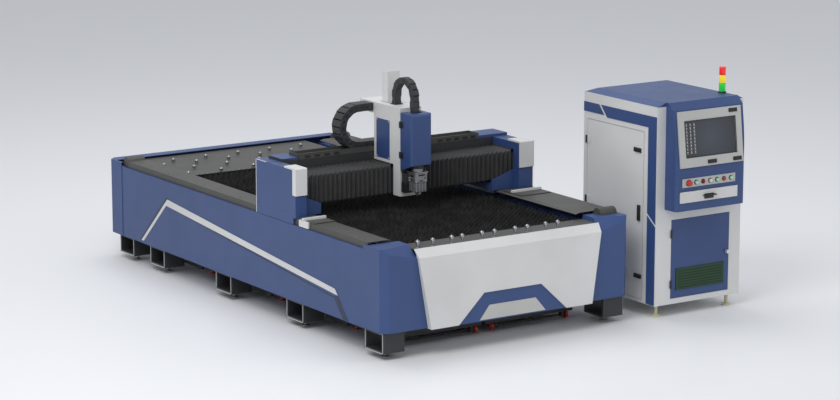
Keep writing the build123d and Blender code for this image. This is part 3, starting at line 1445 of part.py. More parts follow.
def all_nodes():
    shift = BED_MIDDLE - CART_LEFT - CART_WIDTH + 15
    nodes = {
        "bed_frame": bed_frame(),
        "leg_boxes": leg_boxes(),
        "levelling_feet": levelling_feet(),
        "outer_panels": outer_panels(),
        "side_stripes": side_stripes(),
        "corner_posts": corner_posts(),
        "front_panel": front_panel(),
        "arch_trim": arch_trim(),
        "arch_insert": arch_insert(),
        "deck_plates": deck_plates(),
        "support_slats": support_slats(),
        "slat_ledges": slat_ledges(),
        "rail_covers": rail_covers(),
        "guide_rails": guide_rails(),
        "ball_units": ball_units(),
        "duct_collar": duct_collar(),
        "slag_cart_left": slag_cart(),
        "slag_cart_right": Pos(CART_WIDTH + shift, 0, 0) * slag_cart(),
        "gantry_ends": gantry_ends(),
        "gantry_beam": gantry_beam(),
        "corner_caps": corner_caps(),
        "saddles": saddles(),
        "bellows_left": bellows_left(),
        "bellows_right": bellows_right(),
        "cable_tray": cable_tray(),
        "x_chain": x_chain(),
        "z_chain": z_chain(),
        "carriage_body": carriage_body(),
        "carriage_inlay": carriage_inlay(),
        "motor_cover": motor_cover(),
        "z_plate": z_plate(),
        "head_cover": head_cover(),
        "cutting_head": cutting_head(),
        "cabinet_body": cabinet_body(),
        "cabinet_hood": cabinet_hood(),
        "side_door": side_door(),
        "lower_door": lower_door(),
        "vent_panel": vent_panel(),
        "monitor_bezel": monitor_bezel(),
        "screen": screen(),
        "control_plate": control_plate(),
        "emergency_stop": emergency_stop(),
        "selector_knob": selector(),
        "keyboard_drawer": keyboard_drawer(),
        "laser_source": laser_source(),
        "cabinet_feet": cabinet_feet(),
        "beacon": beacon(),
    }
    for number, station in enumerate(AXLE_STATIONS, start=1):
        axle = wheelset(station)
        nodes[f"wheelset_left_{number}"] = axle
        nodes[f"wheelset_right_{number}"] = Pos(CART_WIDTH + shift, 0, 0) * axle
    places = button_places()
    for number, index in enumerate((0, 2, 3, 4, 5), start=1):
        nodes[f"push_button_{number}"] = pushed_cap(places[index], BUTTON_RADIUS, BUTTON_LENGTH, BUTTON_TRAVEL)
    return nodes


def main():
    os.makedirs("parts", exist_ok=True)
    nodes = {}
    for name, shape in all_nodes().items():
        pieces = shape if isinstance(shape, list) else [shape]
        solids = [solid for piece in pieces for solid in piece.solids()]
        nodes[name] = solids[0] if len(solids) == 1 else Compound(children=solids)
    everything = Compound([solid for node in nodes.values() for solid in node.solids()]).bounding_box()
    middle = everything.center()
    for name, node in nodes.items():
        export_step(Pos(-middle.X, -middle.Y, -everything.min.Z) * node, f"parts/{name}.step")


main()
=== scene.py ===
import math

import bmesh
import bpy
from bpy.types import Operator, Panel, PropertyGroup
from mathutils import Matrix, Vector


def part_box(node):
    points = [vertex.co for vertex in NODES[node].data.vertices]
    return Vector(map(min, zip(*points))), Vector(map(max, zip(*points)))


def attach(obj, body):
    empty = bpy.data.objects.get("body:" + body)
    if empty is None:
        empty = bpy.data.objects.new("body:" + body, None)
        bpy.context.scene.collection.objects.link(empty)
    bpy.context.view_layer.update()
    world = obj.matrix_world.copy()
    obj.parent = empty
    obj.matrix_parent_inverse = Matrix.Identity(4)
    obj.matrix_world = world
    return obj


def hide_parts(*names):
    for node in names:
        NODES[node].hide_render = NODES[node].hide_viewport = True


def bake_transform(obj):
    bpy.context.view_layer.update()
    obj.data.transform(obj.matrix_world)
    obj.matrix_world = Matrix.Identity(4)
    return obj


bl_info = {
    "name": "Flatbed sheet cutter",
    "version": (1, 0, 0),
    "blender": (4, 5, 0),
    "location": "View3D > Sidebar > Sheet cutter",
    "description": "Finishes, fine parts and stage for a flatbed sheet cutter and its cabinet",
    "category": "Object",
}

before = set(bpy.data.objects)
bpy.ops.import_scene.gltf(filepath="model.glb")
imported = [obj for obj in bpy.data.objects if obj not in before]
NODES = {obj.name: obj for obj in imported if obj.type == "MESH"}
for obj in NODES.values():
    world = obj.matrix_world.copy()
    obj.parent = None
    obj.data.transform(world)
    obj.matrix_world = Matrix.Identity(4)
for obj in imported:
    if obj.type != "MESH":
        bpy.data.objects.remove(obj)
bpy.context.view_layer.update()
MM = 0.001

# The bed's front left corner on the floor. Places below are millimetres from it.
DATUM = Vector((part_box("corner_posts")[0].x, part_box("corner_posts")[0].y, 0))
HEAD_AXIS = (1048, 1135)

# Faces that the fine parts sit on
BED_WIDTH = 2280
BED_REAR = 4370
LEG_FACE = 28
LEG_BOTTOM = 53
LEG_TOP = 212
RAIL_COVER_TOP = 868.6
GANTRY_LEFT = 3
GANTRY_RIGHT = 2245
LEFT_COVER_INNER = 103
RIGHT_COVER_INNER = 2105
COVER_TOP = 1246
BEAM_REAR = 1820
TRAY_LEFT = 250
TRAY_RIGHT = 1957
CARRIAGE_LEFT = 950
CARRIAGE_RIGHT = 1145
PLATE_TOP = 1642
CABINET_LEFT = 2500
CABINET_REAR = 905

# Directions in which screws, rods and rings point
UP = (0, 0, 1)
LEFT = (-1, 0, 0)
RIGHT = (1, 0, 0)
FRONT = (0, -1, 0)
BACK = (0, 1, 0)


def length(name, description, default):
    return bpy.props.FloatProperty(
        name=name, description=description, default=default, min=0, subtype="DISTANCE", unit="LENGTH"
    )


def colour(name, description, default):
    return bpy.props.FloatVectorProperty(
        name=name, description=description, default=default, size=3, min=0, max=1, subtype="COLOR"
    )


class CutterSizes(PropertyGroup):
    """Sizes of the fine parts that are modelled here."""

    tooth_pitch: length("Tooth pitch", "Distance from one slat tooth to the next", 0.05)
    tooth_depth: length("Tooth depth", "Depth of the slats' teeth", 0.036)
    slat_thick: length("Slat thickness", "Thickness of a slat", 0.004)
    ball_radius: length("Ball radius", "Radius of the transfer balls", 0.014)
    cup_radius: length("Cup radius", "Radius of the cup that holds a ball", 0.018)
    link_plate: length("Link plate", "Thickness of the energy chains' side plates", 0.005)
    screw_radius: length("Screw radius", "Radius of the cover screws' heads", 0.006)
    edge_softness: length("Edge softness", "Radius of the light that a folded edge catches", 0.0025)


class CutterColours(PropertyGroup):
    """Paint, plastic and metal colours."""

    blue: colour("Blue", "Main paint", (0.03, 0.066, 0.195))
    # Deep blue paints the rear panel's seams, and also the painted shadow lines beside the side panels'
    # white stripes.
    deep_blue: colour("Deep blue", "Grooves in the blue panels", (0.01, 0.02, 0.06))
    white: colour("White", "Front panel, carriage and cabinet", (0.66, 0.66, 0.65))
    grey: colour("Light grey", "Console plates", (0.5, 0.5, 0.48))
    olive: colour("Olive grey", "Rail covers and cable tray", (0.062, 0.061, 0.055))
    slat: colour("Slat", "Used support slats", (0.035, 0.034, 0.034))
    charcoal: colour("Charcoal", "Dark painted steel", (0.03, 0.031, 0.033))
    black: colour("Black", "Plastic parts and latches", (0.014, 0.014, 0.016))
    chain: colour("Chain", "Energy chains", (0.028, 0.028, 0.03))
    cloth: colour("Cloth", "Bellows", (0.026, 0.026, 0.026))
    cream: colour("Cream", "Cabinet feet", (0.55, 0.52, 0.36))
    red: colour("Red", "Wheels and buttons", (0.55, 0.03, 0.025))
    green: colour("Green", "Lit buttons", (0.25, 0.7, 0.42))
    vent: colour("Vent green", "Cabinet's vent panel", (0.006, 0.045, 0.012))
    steel: colour("Steel", "Bare metal", (0.5, 0.51, 0.52))
    lamp_red: colour("Lamp red", "Top lamp of the beacon", (0.85, 0.015, 0.01))
    lamp_yellow: colour("Lamp yellow", "Middle lamp of the beacon", (0.9, 0.72, 0.02))
    lamp_green: colour("Lamp green", "Bottom lamp of the beacon", (0.02, 0.6, 0.05))
    floor: colour("Floor", "Pale studio floor", (0.8, 0.81, 0.82))


def sizes():
    return bpy.context.scene.cutter_sizes


def colours():
    return bpy.context.scene.cutter_colours


def at(x, y, z):
    return DATUM + Vector((x, y, z)) * MM


def raised(place, tall):
    return place + Vector((0, 0, tall * MM))


# Materials
def set_inputs(node, **values):
    # Each keyword is the name of an input, with _ for a space.
    for name, value in values.items():
        node.inputs[name.replace("_", " ")].default_value = value


def add_node(tree, kind, **values):
    node = tree.nodes.new("ShaderNode" + kind)
    set_inputs(node, **values)
    return node


def surface(name, tone, roughness, metallic=0.0):
    material = bpy.data.materials.new(name)
    material.use_nodes = True
    shader = material.node_tree.nodes["Principled BSDF"]
    set_inputs(shader, Base_Color=(*tone, 1), Roughness=roughness, Metallic=metallic)
    return material, material.node_tree, shader


def noise(tree, scale, detail, stretch=(1, 1, 1)):
    place = add_node(tree, "TexCoord")
    mapping = add_node(tree, "Mapping", Scale=stretch)
    texture = add_node(tree, "TexNoise", Scale=scale, Detail=detail)
    tree.links.new(place.outputs["Object"], mapping.inputs["Vector"])
    tree.links.new(mapping.outputs["Vector"], texture.inputs["Vector"])
    return texture.outputs["Fac"]


def wave(tree, scale, distortion=0.0, bands="X"):
    place = add_node(tree, "TexCoord")
    texture = add_node(tree, "TexWave", Scale=scale, Distortion=distortion)
    texture.bands_direction = bands
    tree.links.new(place.outputs["Object"], texture.inputs["Vector"])
    return texture.outputs["Fac"]


def vary_colour(tree, shader, factor, dark, light, low=0.35, high=0.65):
    ramp = add_node(tree, "ValToRGB")
    ramp.color_ramp.elements[0].position = low
    ramp.color_ramp.elements[1].position = high
    ramp.color_ramp.elements[0].color = (*dark, 1)
    ramp.color_ramp.elements[1].color = (*light, 1)
    tree.links.new(factor, ramp.inputs["Fac"])
    tree.links.new(ramp.outputs["Color"], shader.inputs["Base Color"])
    return ramp


def vary_roughness(tree, shader, factor, low, high):
    span = add_node(tree, "MapRange", To_Min=low, To_Max=high)
    tree.links.new(factor, span.inputs["Value"])
    tree.links.new(span.outputs["Result"], shader.inputs["Roughness"])


def relief(tree, shader, factor, depth, soft_edges=True):
    bump = add_node(tree, "Bump", Strength=0.6, Distance=depth)
    tree.links.new(factor, bump.inputs["Height"])
    if soft_edges:
        bevel = add_node(tree, "Bevel", Radius=sizes().edge_softness)
        bevel.samples = 4
        tree.links.new(bevel.outputs["Normal"], bump.inputs["Normal"])
    tree.links.new(bump.outputs["Normal"], shader.inputs["Normal"])


def shade(tone, share):
    return tuple(min(1.0, channel * share) for channel in tone)


def powder_coat(name, tone, roughness=0.42, depth=0.0004):
    # Sprayed and baked paint: a fine orange peel, and a faint change of shade over each panel.
    material, tree, shader = surface(name, tone, roughness)
    set_inputs(shader, Coat_Weight=0.08, Coat_Roughness=0.3)
    vary_colour(tree, shader, noise(tree, 1.3, 3), shade(tone, 0.93), shade(tone, 1.05))
    vary_roughness(tree, shader, noise(tree, 6, 4), roughness - 0.05, roughness + 0.1)
    relief(tree, shader, noise(tree, 700, 2), depth)
    return material


def brushed(name, tone, stretch, roughness=0.32):
    material, tree, shader = surface(name, tone, roughness, metallic=0.9)
    grain = noise(tree, 90, 6, stretch)
    vary_colour(tree, shader, grain, shade(tone, 0.8), shade(tone, 1.08))
    vary_roughness(tree, shader, grain, roughness - 0.08, roughness + 0.14)
    relief(tree, shader, grain, 0.0003)
    return material


def scorched(name, tone):
    # Slats that have been cut over: soot, a little heat tint and spatter.
    material, tree, shader = surface(name, tone, 0.5, metallic=0.35)
    vary_colour(tree, shader, noise(tree, 9, 6), shade(tone, 0.75), shade(tone, 1.7), 0.4, 0.7)
    vary_roughness(tree, shader, noise(tree, 30, 4), 0.38, 0.6)
    relief(tree, shader, noise(tree, 200, 3), 0.0006, soft_edges=False)
    return material


def coated_cloth(name, tone):
    # Rubberised cloth: a fine square weave under a matt coat.
    material, tree, shader = surface(name, tone, 0.6)
    set_inputs(shader, Sheen_Weight=0.2)
    weave = wave(tree, 260, 0.6)
    vary_colour(tree, shader, noise(tree, 9, 5), shade(tone, 0.8), shade(tone, 1.3))
    vary_roughness(tree, shader, weave, 0.52, 0.7)
    relief(tree, shader, weave, 0.0004)
    return material


def moulded(name, tone, roughness=0.45, gloss=0.0):
    material, tree, shader = surface(name, tone, roughness)
    set_inputs(shader, Coat_Weight=gloss)
    vary_colour(tree, shader, noise(tree, 25, 4), shade(tone, 0.88), shade(tone, 1.1))
    vary_roughness(tree, shader, noise(tree, 60, 3), roughness - 0.05, roughness + 0.08)
    relief(tree, shader, noise(tree, 900, 2), 0.0003)
    return material


def lamp_lens(name, tone):
    # Ribbed coloured plastic, lit a little from inside.
    material, tree, shader = surface(name, tone, 0.2)
    set_inputs(shader, Coat_Weight=0.6, Emission_Strength=0.35)
    rings = wave(tree, 60, bands="Z")
    ramp = vary_colour(tree, shader, rings, shade(tone, 0.75), shade(tone, 1.1), 0.2, 0.8)
    tree.links.new(ramp.outputs["Color"], shader.inputs["Emission Color"])
    vary_roughness(tree, shader, rings, 0.14, 0.26)
    relief(tree, shader, rings, 0.0012)
    return material


def screen_glass(name):
    # A dark picture under glass, a little lighter to its middle.
    material, tree, shader = surface(name, (0.008, 0.012, 0.02), 0.12)
    set_inputs(shader, Coat_Weight=1.0, Emission_Strength=0.5)
    low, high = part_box("screen")
    reach = 3.4
    middle = low.lerp(high, 0.5) * reach
    place = add_node(tree, "TexCoord")
    mapping = add_node(tree, "Mapping", Location=-middle, Scale=(reach, reach, reach))
    glow = add_node(tree, "TexGradient")
    glow.gradient_type = "SPHERICAL"
    tree.links.new(place.outputs["Object"], mapping.inputs["Vector"])
    tree.links.new(mapping.outputs["Vector"], glow.inputs["Vector"])
    edge = (0.006, 0.007, 0.009)
    middle_tone = (0.022, 0.03, 0.045)
    ramp = vary_colour(tree, shader, glow.outputs["Fac"], edge, middle_tone, 0.1, 0.95)
    tree.links.new(ramp.outputs["Color"], shader.inputs["Emission Color"])
    vary_roughness(tree, shader, noise(tree, 12, 3), 0.08, 0.16)
    relief(tree, shader, noise(tree, 400, 2), 0.0001, soft_edges=False)
    return material


MATERIALS = {}


def make_materials():
    tone = colours()
    MATERIALS.update(
        blue=powder_coat("blue_paint", tone.blue),
        deep_blue=powder_coat("deep_blue_paint", tone.deep_blue),
        white=powder_coat("white_paint", tone.white, 0.38),
        grey=powder_coat("grey_paint", tone.grey, 0.4),
        olive=powder_coat("olive_cover", tone.olive, 0.5, 0.0007),
        cream=powder_coat("cream_paint", tone.cream, 0.5),
        vent=powder_coat("vent_paint", tone.vent, 0.5),
        charcoal=powder_coat("charcoal_paint", tone.charcoal, 0.5),
        slat=scorched("slat_steel", tone.slat),
        steel=brushed("bright_steel", tone.steel, (1, 1, 14)),
        # A darker copy of the bright steel: painted dark reflection, as if the balls mirrored darker
        # surroundings than the studio.
        chrome=brushed("polished_steel_painted_dark", shade(tone.steel, 0.75), (1, 1, 1), 0.18),
        rail=brushed("ground_rail", tone.steel, (30, 1, 30), 0.24),
        alloy=brushed("cast_alloy", shade(tone.steel, 0.8), (1, 1, 1), 0.42),
        cloth=coated_cloth("bellows_cloth", tone.cloth),
        black=moulded("black_plastic", tone.black, 0.4),
        chain=moulded("chain_plastic", tone.chain, 0.42),
        red=moulded("red_plastic", tone.red, 0.35, 0.3),
        dark_red=moulded("dark_red_plastic", shade(tone.red, 0.45), 0.35, 0.3),
        green=moulded("green_plastic", tone.green, 0.3, 0.4),
        pale=moulded("pale_plastic", tone.white, 0.3, 0.4),
        lamp_red=lamp_lens("red_lamp", tone.lamp_red),
        lamp_yellow=lamp_lens("yellow_lamp", tone.lamp_yellow),
        lamp_green=lamp_lens("green_lamp", tone.lamp_green),
        screen=screen_glass("screen_picture"),
    )


NODE_MATERIALS = {
    "blue": (
        "bed_frame outer_panels corner_posts arch_trim gantry_ends carriage_inlay head_cover "
        "cabinet_hood lower_door"
    ),
    "white": (
        "side_stripes front_panel corner_caps carriage_body motor_cover cabinet_body side_door "
        "keyboard_drawer"
    ),
    "grey": "arch_insert monitor_bezel control_plate",
    "olive": "rail_covers cable_tray deck_plates",
    "charcoal": "leg_boxes slat_ledges z_plate laser_source slag_cart_left slag_cart_right gantry_beam",
    "cream": "cabinet_feet",
    "steel": "duct_collar saddles cutting_head levelling_feet",
    "rail": "guide_rails",
    "chrome": "ball_units",
    "slat": "support_slats",
    "cloth": "bellows_left bellows_right",
    "chain": "x_chain z_chain",
    "black": "beacon",
    "vent": "vent_panel",
    "screen": "screen",
    "red": "emergency_stop push_button_4",
    "dark_red": "selector_knob",
    "green": "push_button_1 push_button_3 push_button_5",
    "pale": "push_button_2",
}


def dress_nodes():
    for material, names in NODE_MATERIALS.items():
        for name in names.split():
            mesh = NODES[name].data
            mesh.materials.clear()
            mesh.materials.append(MATERIALS[material])


# Mesh helpers. Each adds to a bmesh, in metres, in the row frame.
def block(bm, low, high, bevel=0.0):
    low = Vector(low)
    high = Vector(high)
    made = bmesh.ops.create_cube(bm, size=1.0)
    shift = Matrix.Translation((low + high) / 2) @ Matrix.Diagonal((*(high - low), 1))
    bmesh.ops.transform(bm, matrix=shift, verts=made["verts"])
    if bevel:
        edges = {edge for vert in made["verts"] for edge in vert.link_edges}
        bmesh.ops.bevel(bm, geom=list(edges), offset=bevel * MM, segments=2, affect="EDGES", profile=0.6)


def mm_block(bm, x0, x1, y0, y1, z0, z1, bevel=0.0):
    block(bm, at(x0, y0, z0), at(x1, y1, z1), bevel)


def side_frame(bm, face, front, rear, bottom, top, wide):
    # Four strips round a field that faces left or right.
    for y in (front, rear - wide):
        mm_block(bm, *face, y, y + wide, bottom, top)
    for z in (bottom, top - wide):
        mm_block(bm, *face, front, rear, z, z + wide)


def extruded(bm, outline, thickness):
    # A closed outline of 3-D points, pushed out along the vector thickness.
    front = [bm.verts.new(point) for point in outline]
    back = [bm.verts.new(Vector(point) + thickness) for point in outline]
    count = len(outline)
    bm.faces.new(front)
    bm.faces.new(back[::-1])
    for index in range(count):
        after = (index + 1) % count
        bm.faces.new((front[after], front[index], back[index], back[after]))


def ring_of(bm, middle, side, other, radius, segments):
    ring = []
    for step in range(segments):
        angle = math.tau * step / segments
        ring.append(bm.verts.new(middle + (side * math.cos(angle) + other * math.sin(angle)) * radius * MM))
    return ring


def turned(bm, centre, axis, profile, segments=32):
    # A turned form: profile is a list of (radius, distance along the axis) in millimetres.
    axis = Vector(axis).normalized()
    side = axis.orthogonal().normalized()
    other = axis.cross(side)
    rings = []
    for radius, along in profile:
        middle = centre + axis * along * MM
        if radius < 0.01:
            rings.append([bm.verts.new(middle)])
        else:
            rings.append(ring_of(bm, middle, side, other, radius, segments))
    for lower, upper in zip(rings, rings[1:]):
        for step in range(segments):
            after = (step + 1) % segments
            corners = [lower[step % len(lower)], lower[after % len(lower)]]
            corners += [upper[after % len(upper)], upper[step % len(upper)]]
            unique = list(dict.fromkeys(corners))
            if len(unique) > 2:
                bm.faces.new(unique)
    for ring in (rings[0], rings[-1]):
        if len(ring) > 2:
            bm.faces.new(ring)


def rod(bm, foot, axis, radius, tall, segments):
    turned(bm, foot, axis, [(0, 0), (radius, 0), (radius, tall), (0, tall)], segments)


def screw(bm, place, axis):
    radius = sizes().screw_radius / MM
    turned(bm, place, axis, [(radius, -0.5), (radius, 2), (radius * 0.7, 3.4), (radius * 0.45, 3.6)], 16)
    turned(bm, place, axis, [(radius * 0.42, 3.5), (radius * 0.42, 3.9), (0, 3.9)], 6)


def settle(thing, body, replaces):
    # body is one body, to which the piece is attached, or a tuple of two bodies and two places, which are
    # not used: the piece then stays where it was built.
    bpy.context.scene.collection.objects.link(thing)
    if isinstance(body, str):
        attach(thing, body)
    else:
        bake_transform(thing)
    if replaces:
        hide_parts(*replaces)


def piece(name, bm, material, body, replaces=(), smooth=False):
    mesh = bpy.data.meshes.new(name)
    bmesh.ops.recalc_face_normals(bm, faces=bm.faces)
    bm.to_mesh(mesh)
    bm.free()
    mesh.materials.append(MATERIALS[material])
    if smooth:
        mesh.shade_smooth()
        mesh.set_sharp_from_angle(angle=math.radians(35))
    settle(bpy.data.objects.new(name, mesh), body, replaces)


def two_tone(name, node, body, materials, choose):
    # The node's own form with other finishes on some faces; choose takes a place on the bed in mm.
    mesh = NODES[node].data.copy()
    mesh.name = name
    mesh.materials.clear()
    for material in materials:
        mesh.materials.append(MATERIALS[material])
    for face in mesh.polygons:
        face.material_index = choose((face.center - DATUM) / MM)
    settle(bpy.data.objects.new(name, mesh), body, [node])


# Slats: saw teeth at their real pitch, neighbours set half a tooth apart.
SLAT_ROWS = 45


def slat_outline(low, high, bottom, tip, y, staggered):
    count = round((high - low) / sizes().tooth_pitch)
    pitch = (high - low) / count
    valley = tip - sizes().tooth_depth
    land = pitch * 0.06
    points = [Vector((low, y, bottom)), Vector((high, y, bottom))]
    for half_tooth in reversed(range(2 * count + 1)):
        x = low + half_tooth * pitch / 2
        if half_tooth % 2 == staggered:
            points.append(Vector((min(x + land, high), y, tip)))
            points.append(Vector((max(x - land, low), y, tip)))
        else:
            points.append(Vector((x, y, valley)))
    return points


def add_slats():
    low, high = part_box("support_slats")
    thick = sizes().slat_thick
    pitch = (high.y - low.y - thick) / (SLAT_ROWS - 1)
    bm = bmesh.new()
    for row in range(SLAT_ROWS):
        y = low.y + row * pitch
        extruded(bm, slat_outline(low.x, high.x, low.z, high.z, y, row % 2), Vector((0, thick, 0)))
    piece("saw_tooth_slats", bm, "slat", "machine", ["support_slats"])


# Ball units
FRONT_UNIT_X = (352, 485, 656, 751, 931, 1045, 1235, 1349, 1520, 1634)
FRONT_UNIT_Y = 75
FRONT_DECK = 820
REAR_ROWS = ((3420, 261, 314), (3848, 261, 314), (3640, 437, 318), (4009, 437, 318))
REAR_DECK = 830
REAR_TALL = 34
REAR_UNITS = 5


def unit_places():
    tall = (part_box("ball_units")[1].z - at(0, 0, FRONT_DECK).z) / MM
    places = [(at(x, FRONT_UNIT_Y, FRONT_DECK), tall) for x in FRONT_UNIT_X]
    for y, first, pitch in REAR_ROWS:
        places += [(at(first + step * pitch, y, REAR_DECK), REAR_TALL) for step in range(REAR_UNITS)]
    return places


def add_ball_units():
    ball = sizes().ball_radius / MM
    cup = sizes().cup_radius / MM
    cups = bmesh.new()
    balls = bmesh.new()
    for place, tall in unit_places():
        centre = tall - ball
        neck = max(5.5, centre - ball - 5)
        profile = [
            (0, 0.1),
            (cup * 0.8, 0.1),
            (cup * 0.8, 3),
            (cup * 0.5, 5),
            (cup * 0.5, neck),
            (cup * 0.95, neck + 4),
            (cup, neck + 9),
            (cup, centre + ball * 0.2),
            (cup * 0.9, centre + ball * 0.38),
            (ball * 0.96, centre + ball * 0.38),
            (ball * 0.9, centre),
        ]
        turned(cups, place, UP, profile, 24)
        sphere = bmesh.ops.create_uvsphere(balls, u_segments=20, v_segments=12, radius=ball * MM * 0.985)
        lift = Matrix.Translation(raised(place, centre))
        bmesh.ops.transform(balls, matrix=lift, verts=sphere["verts"])
    piece("ball_cups", cups, "chrome", "machine", ["ball_units"], smooth=True)
    piece("steel_balls", balls, "chrome", "machine", smooth=True)


# Energy chains: closed links, each with lids, side plates and hinge pins
def u_path(start, bend_centre, end, radius, pitch):
    upper = abs(start - bend_centre)
    lower = abs(end - bend_centre)
    whole = upper + math.pi * radius + lower
    count = round(whole / pitch)
    points = []
    for index in range(count + 1):
        along = whole * index / count
        if along <= upper:
            points.append(Vector((upper - along, radius)))
        elif along <= upper + math.pi * radius:
            angle = (along - upper) / radius
            points.append(Vector((-math.sin(angle) * radius, math.cos(angle) * radius)))
        else:
            points.append(Vector((along - upper - math.pi * radius, -radius)))
    return points


def link_outline(start, end, radius, reach):
    # A rounded bar round both hinge points.
    along = (end - start).normalized()
    across = Vector((-along.y, along.x))
    points = []
    for centre, first in ((end, -90), (start, 90)):
        for step in range(7):
            angle = math.radians(first + step * 30)
            points.append(centre + along * math.cos(angle) * reach + across * math.sin(angle) * radius)
    return points


# A lid's corners: share of the link's length from its middle, and height over its edge
LID_CORNERS = ((-0.47, -1), (-0.3, 0.6), (0.3, 0.6), (0.47, -1), (0.53, -7), (-0.53, -7))


def lid_outline(start, end, side, height):
    link = end - start
    along = link.normalized()
    across = Vector((-along.y, along.x)) * side
    middle = (start + end) / 2
    return [middle + link * share + across * (height / 2 + rise) for share, rise in LID_CORNERS]


def add_chain(name, points, height, width, to_world, body, node):
    plate = sizes().link_plate / MM
    plates = bmesh.new()
    lids = bmesh.new()
    across = to_world(0, 0, 1) - to_world(0, 0, 0)
    last = len(points) - 2
    for number, (start, end) in enumerate(zip(points, points[1:])):
        odd = number % 2
        outline = link_outline(start, end, height / 2 - odd, height * 0.22)
        for side in (-1, 1):
            outer = side * (width / 2 - odd * plate * 0.7)
            extruded(plates, [to_world(p.x, p.y, outer) for p in outline], across * -side * plate)
            pin = to_world(start.x, start.y, side * (width / 2 - plate))
            turned(plates, pin, across * side, [(height * 0.11, 0), (height * 0.11, plate), (0, plate)], 12)
            if number == last:
                continue
            flat = [to_world(p.x, p.y, plate - width / 2) for p in lid_outline(start, end, side, height)]
            extruded(lids, flat, across * (width - 2 * plate))
    piece(name + "_plates", plates, "chain", body, [node])
    piece(name + "_lids", lids, "chain", body)


def carriage_chain_place(u, v, w):
    return at(819 + u, 1679.5 - w, 1451.3 + v)


def lift_chain_place(u, v, w):
    return at(1045 + w, 1297 + v, 1720 - u)


def add_chains():
    # The lower run of the one chain lies on the tray and on the machine its upper run goes with the
    # carriage; here the whole chain is built in place and attached to neither body.
    path = u_path(948.8, 819, 1250, 152, 52)
    travel = ("gantry", "carriage", at(819, 1679, 1325), at(819, 1679, 1578))
    add_chain("carriage_chain", path, 60, 127, carriage_chain_place, travel, "x_chain")
    # The rear leg of the other stands on the carriage and on the machine its front leg goes with the head;
    # this chain too is built in place and attached to neither body.
    path = u_path(1617, 1720, 1560.3, 129, 45)
    travel = ("carriage", "head", at(1045, 1401, 1700), at(1045, 1193, 1700))
    add_chain("lift_chain", path, 47.5, 60, lift_chain_place, travel, "z_chain")


# Gantry: beam and feet in their colours, edges, tray slots painted black as shade, and bellows frames
RAIL_BACK = 1399.5
SHOULDER_FOOT = 1245
SADDLE_TOP = 869


def beam_finish(place):
    if place.y < RAIL_BACK:
        return 2
    if place.z > SHOULDER_FOOT and not TRAY_LEFT < place.x < TRAY_RIGHT:
        return 1
    return 0


def saddle_finish(place):
    return int(place.z > SADDLE_TOP)


def add_gantry_finishes():
    tones = ("charcoal", "blue", "rail")
    two_tone("dressed_beam", "gantry_beam", "gantry", tones, beam_finish)
    two_tone("dressed_saddles", "saddles", "gantry", ("steel", "olive"), saddle_finish)


def add_gantry_edges():
    grooves = bmesh.new()
    for left, right in ((GANTRY_LEFT + 0.4, LEFT_COVER_INNER), (RIGHT_COVER_INNER, GANTRY_RIGHT - 0.4)):
        mm_block(grooves, left, right, 1655, 1664, COVER_TOP - 1, COVER_TOP + 0.8)
    piece("cover_joints", grooves, "black", "gantry")
    edges = bmesh.new()
    mm_block(edges, 1.6, 6, 1838, 1844.5, 822, COVER_TOP + 1.5, 0.6)
    mm_block(edges, 1.6, 6, 1690, 1844.5, COVER_TOP - 3, COVER_TOP + 1.5, 0.6)
    mm_block(edges, GANTRY_RIGHT - 6, GANTRY_RIGHT - 0.2, 1245.8, 1249, 876, 1046, 0.6)
    mm_block(edges, 3.2, 18, 1066, 1200, 822, 873, 1.5)
    piece("cover_edges", edges, "white", "gantry")
    lips = bmesh.new()
    for low in (869.8, 838):
        mm_block(lips, 22, 208, 996.5, 999, low, low + 5, 0.5)
    piece("foot_lips", lips, "black", "gantry")


SLOT_STARTS = (310, 400, 490, 580, 1200, 1290, 1380, 1560, 1640, 1720, 1800, 1880)
SLOT_LENGTH = 48


def add_tray_trim():
    # Black strips on the tray's front wall: painted shade inside its slots.
    slots = bmesh.new()
    for x in SLOT_STARTS:
        mm_block(slots, x, x + SLOT_LENGTH, 1609.6, 1612, 1254, 1276, 1)
    piece("tray_slot_shade", slots, "black", "gantry")
    rims = bmesh.new()
    for x in (TRAY_LEFT, TRAY_RIGHT - 6):
        mm_block(rims, x, x + 6, 1609, 1750, 1248, 1292, 1)
    for y in (1608.5, 1744.5):
        mm_block(rims, TRAY_LEFT, TRAY_RIGHT - 1, y, y + 5, 1288, 1292, 1)
    piece("tray_rims", rims, "olive", "gantry")


FOLD_TOP = 1187


def add_bellows():
    # On the machine the folds close on one side of the carriage and open on the other as it travels; here
    # each bellows is a fixed copy of its modelled shape.
    ends = {
        "left": (LEFT_COVER_INNER, CARRIAGE_LEFT - 1),
        "right": (RIGHT_COVER_INNER, CARRIAGE_RIGHT + 1),
    }
    frames = {"gantry": bmesh.new(), "carriage": bmesh.new()}
    for side, (fixed, moving) in ends.items():
        node = f"bellows_{side}"
        mesh = NODES[node].data.copy()
        mesh.name = f"folding_{node}"
        travel = ("gantry", "carriage", at(fixed, 1400, 1000), at(moving, 1400, 1000))
        settle(bpy.data.objects.new(mesh.name, mesh), travel, [node])
        inward = 1 if moving > fixed else -1
        for body, x in (("gantry", fixed + inward * 3.5), ("carriage", moving - inward * 3.5)):
            mm_block(frames[body], x - 3, x + 3, 1327, 1352, 953, FOLD_TOP, 1)
            mm_block(frames[body], x - 3, x + 3, 1327, 1608, FOLD_TOP - 29, FOLD_TOP, 1)
    for body, frame_mesh in frames.items():
        piece(f"bellows_frames_{body}", frame_mesh, "charcoal", body)


def add_gantry_screws():
    screws = bmesh.new()
    for z in (900, 1200):
        for y in (1450, 1800):
            screw(screws, at(GANTRY_LEFT + 1.2, y, z), LEFT)
            screw(screws, at(GANTRY_RIGHT, y, z), RIGHT)
    for x in (400, 800, 1300, 1700):
        for z in (1180, 990):
            screw(screws, at(x, BEAM_REAR, z), BACK)
    piece("gantry_screws", screws, "blue", "gantry", smooth=True)


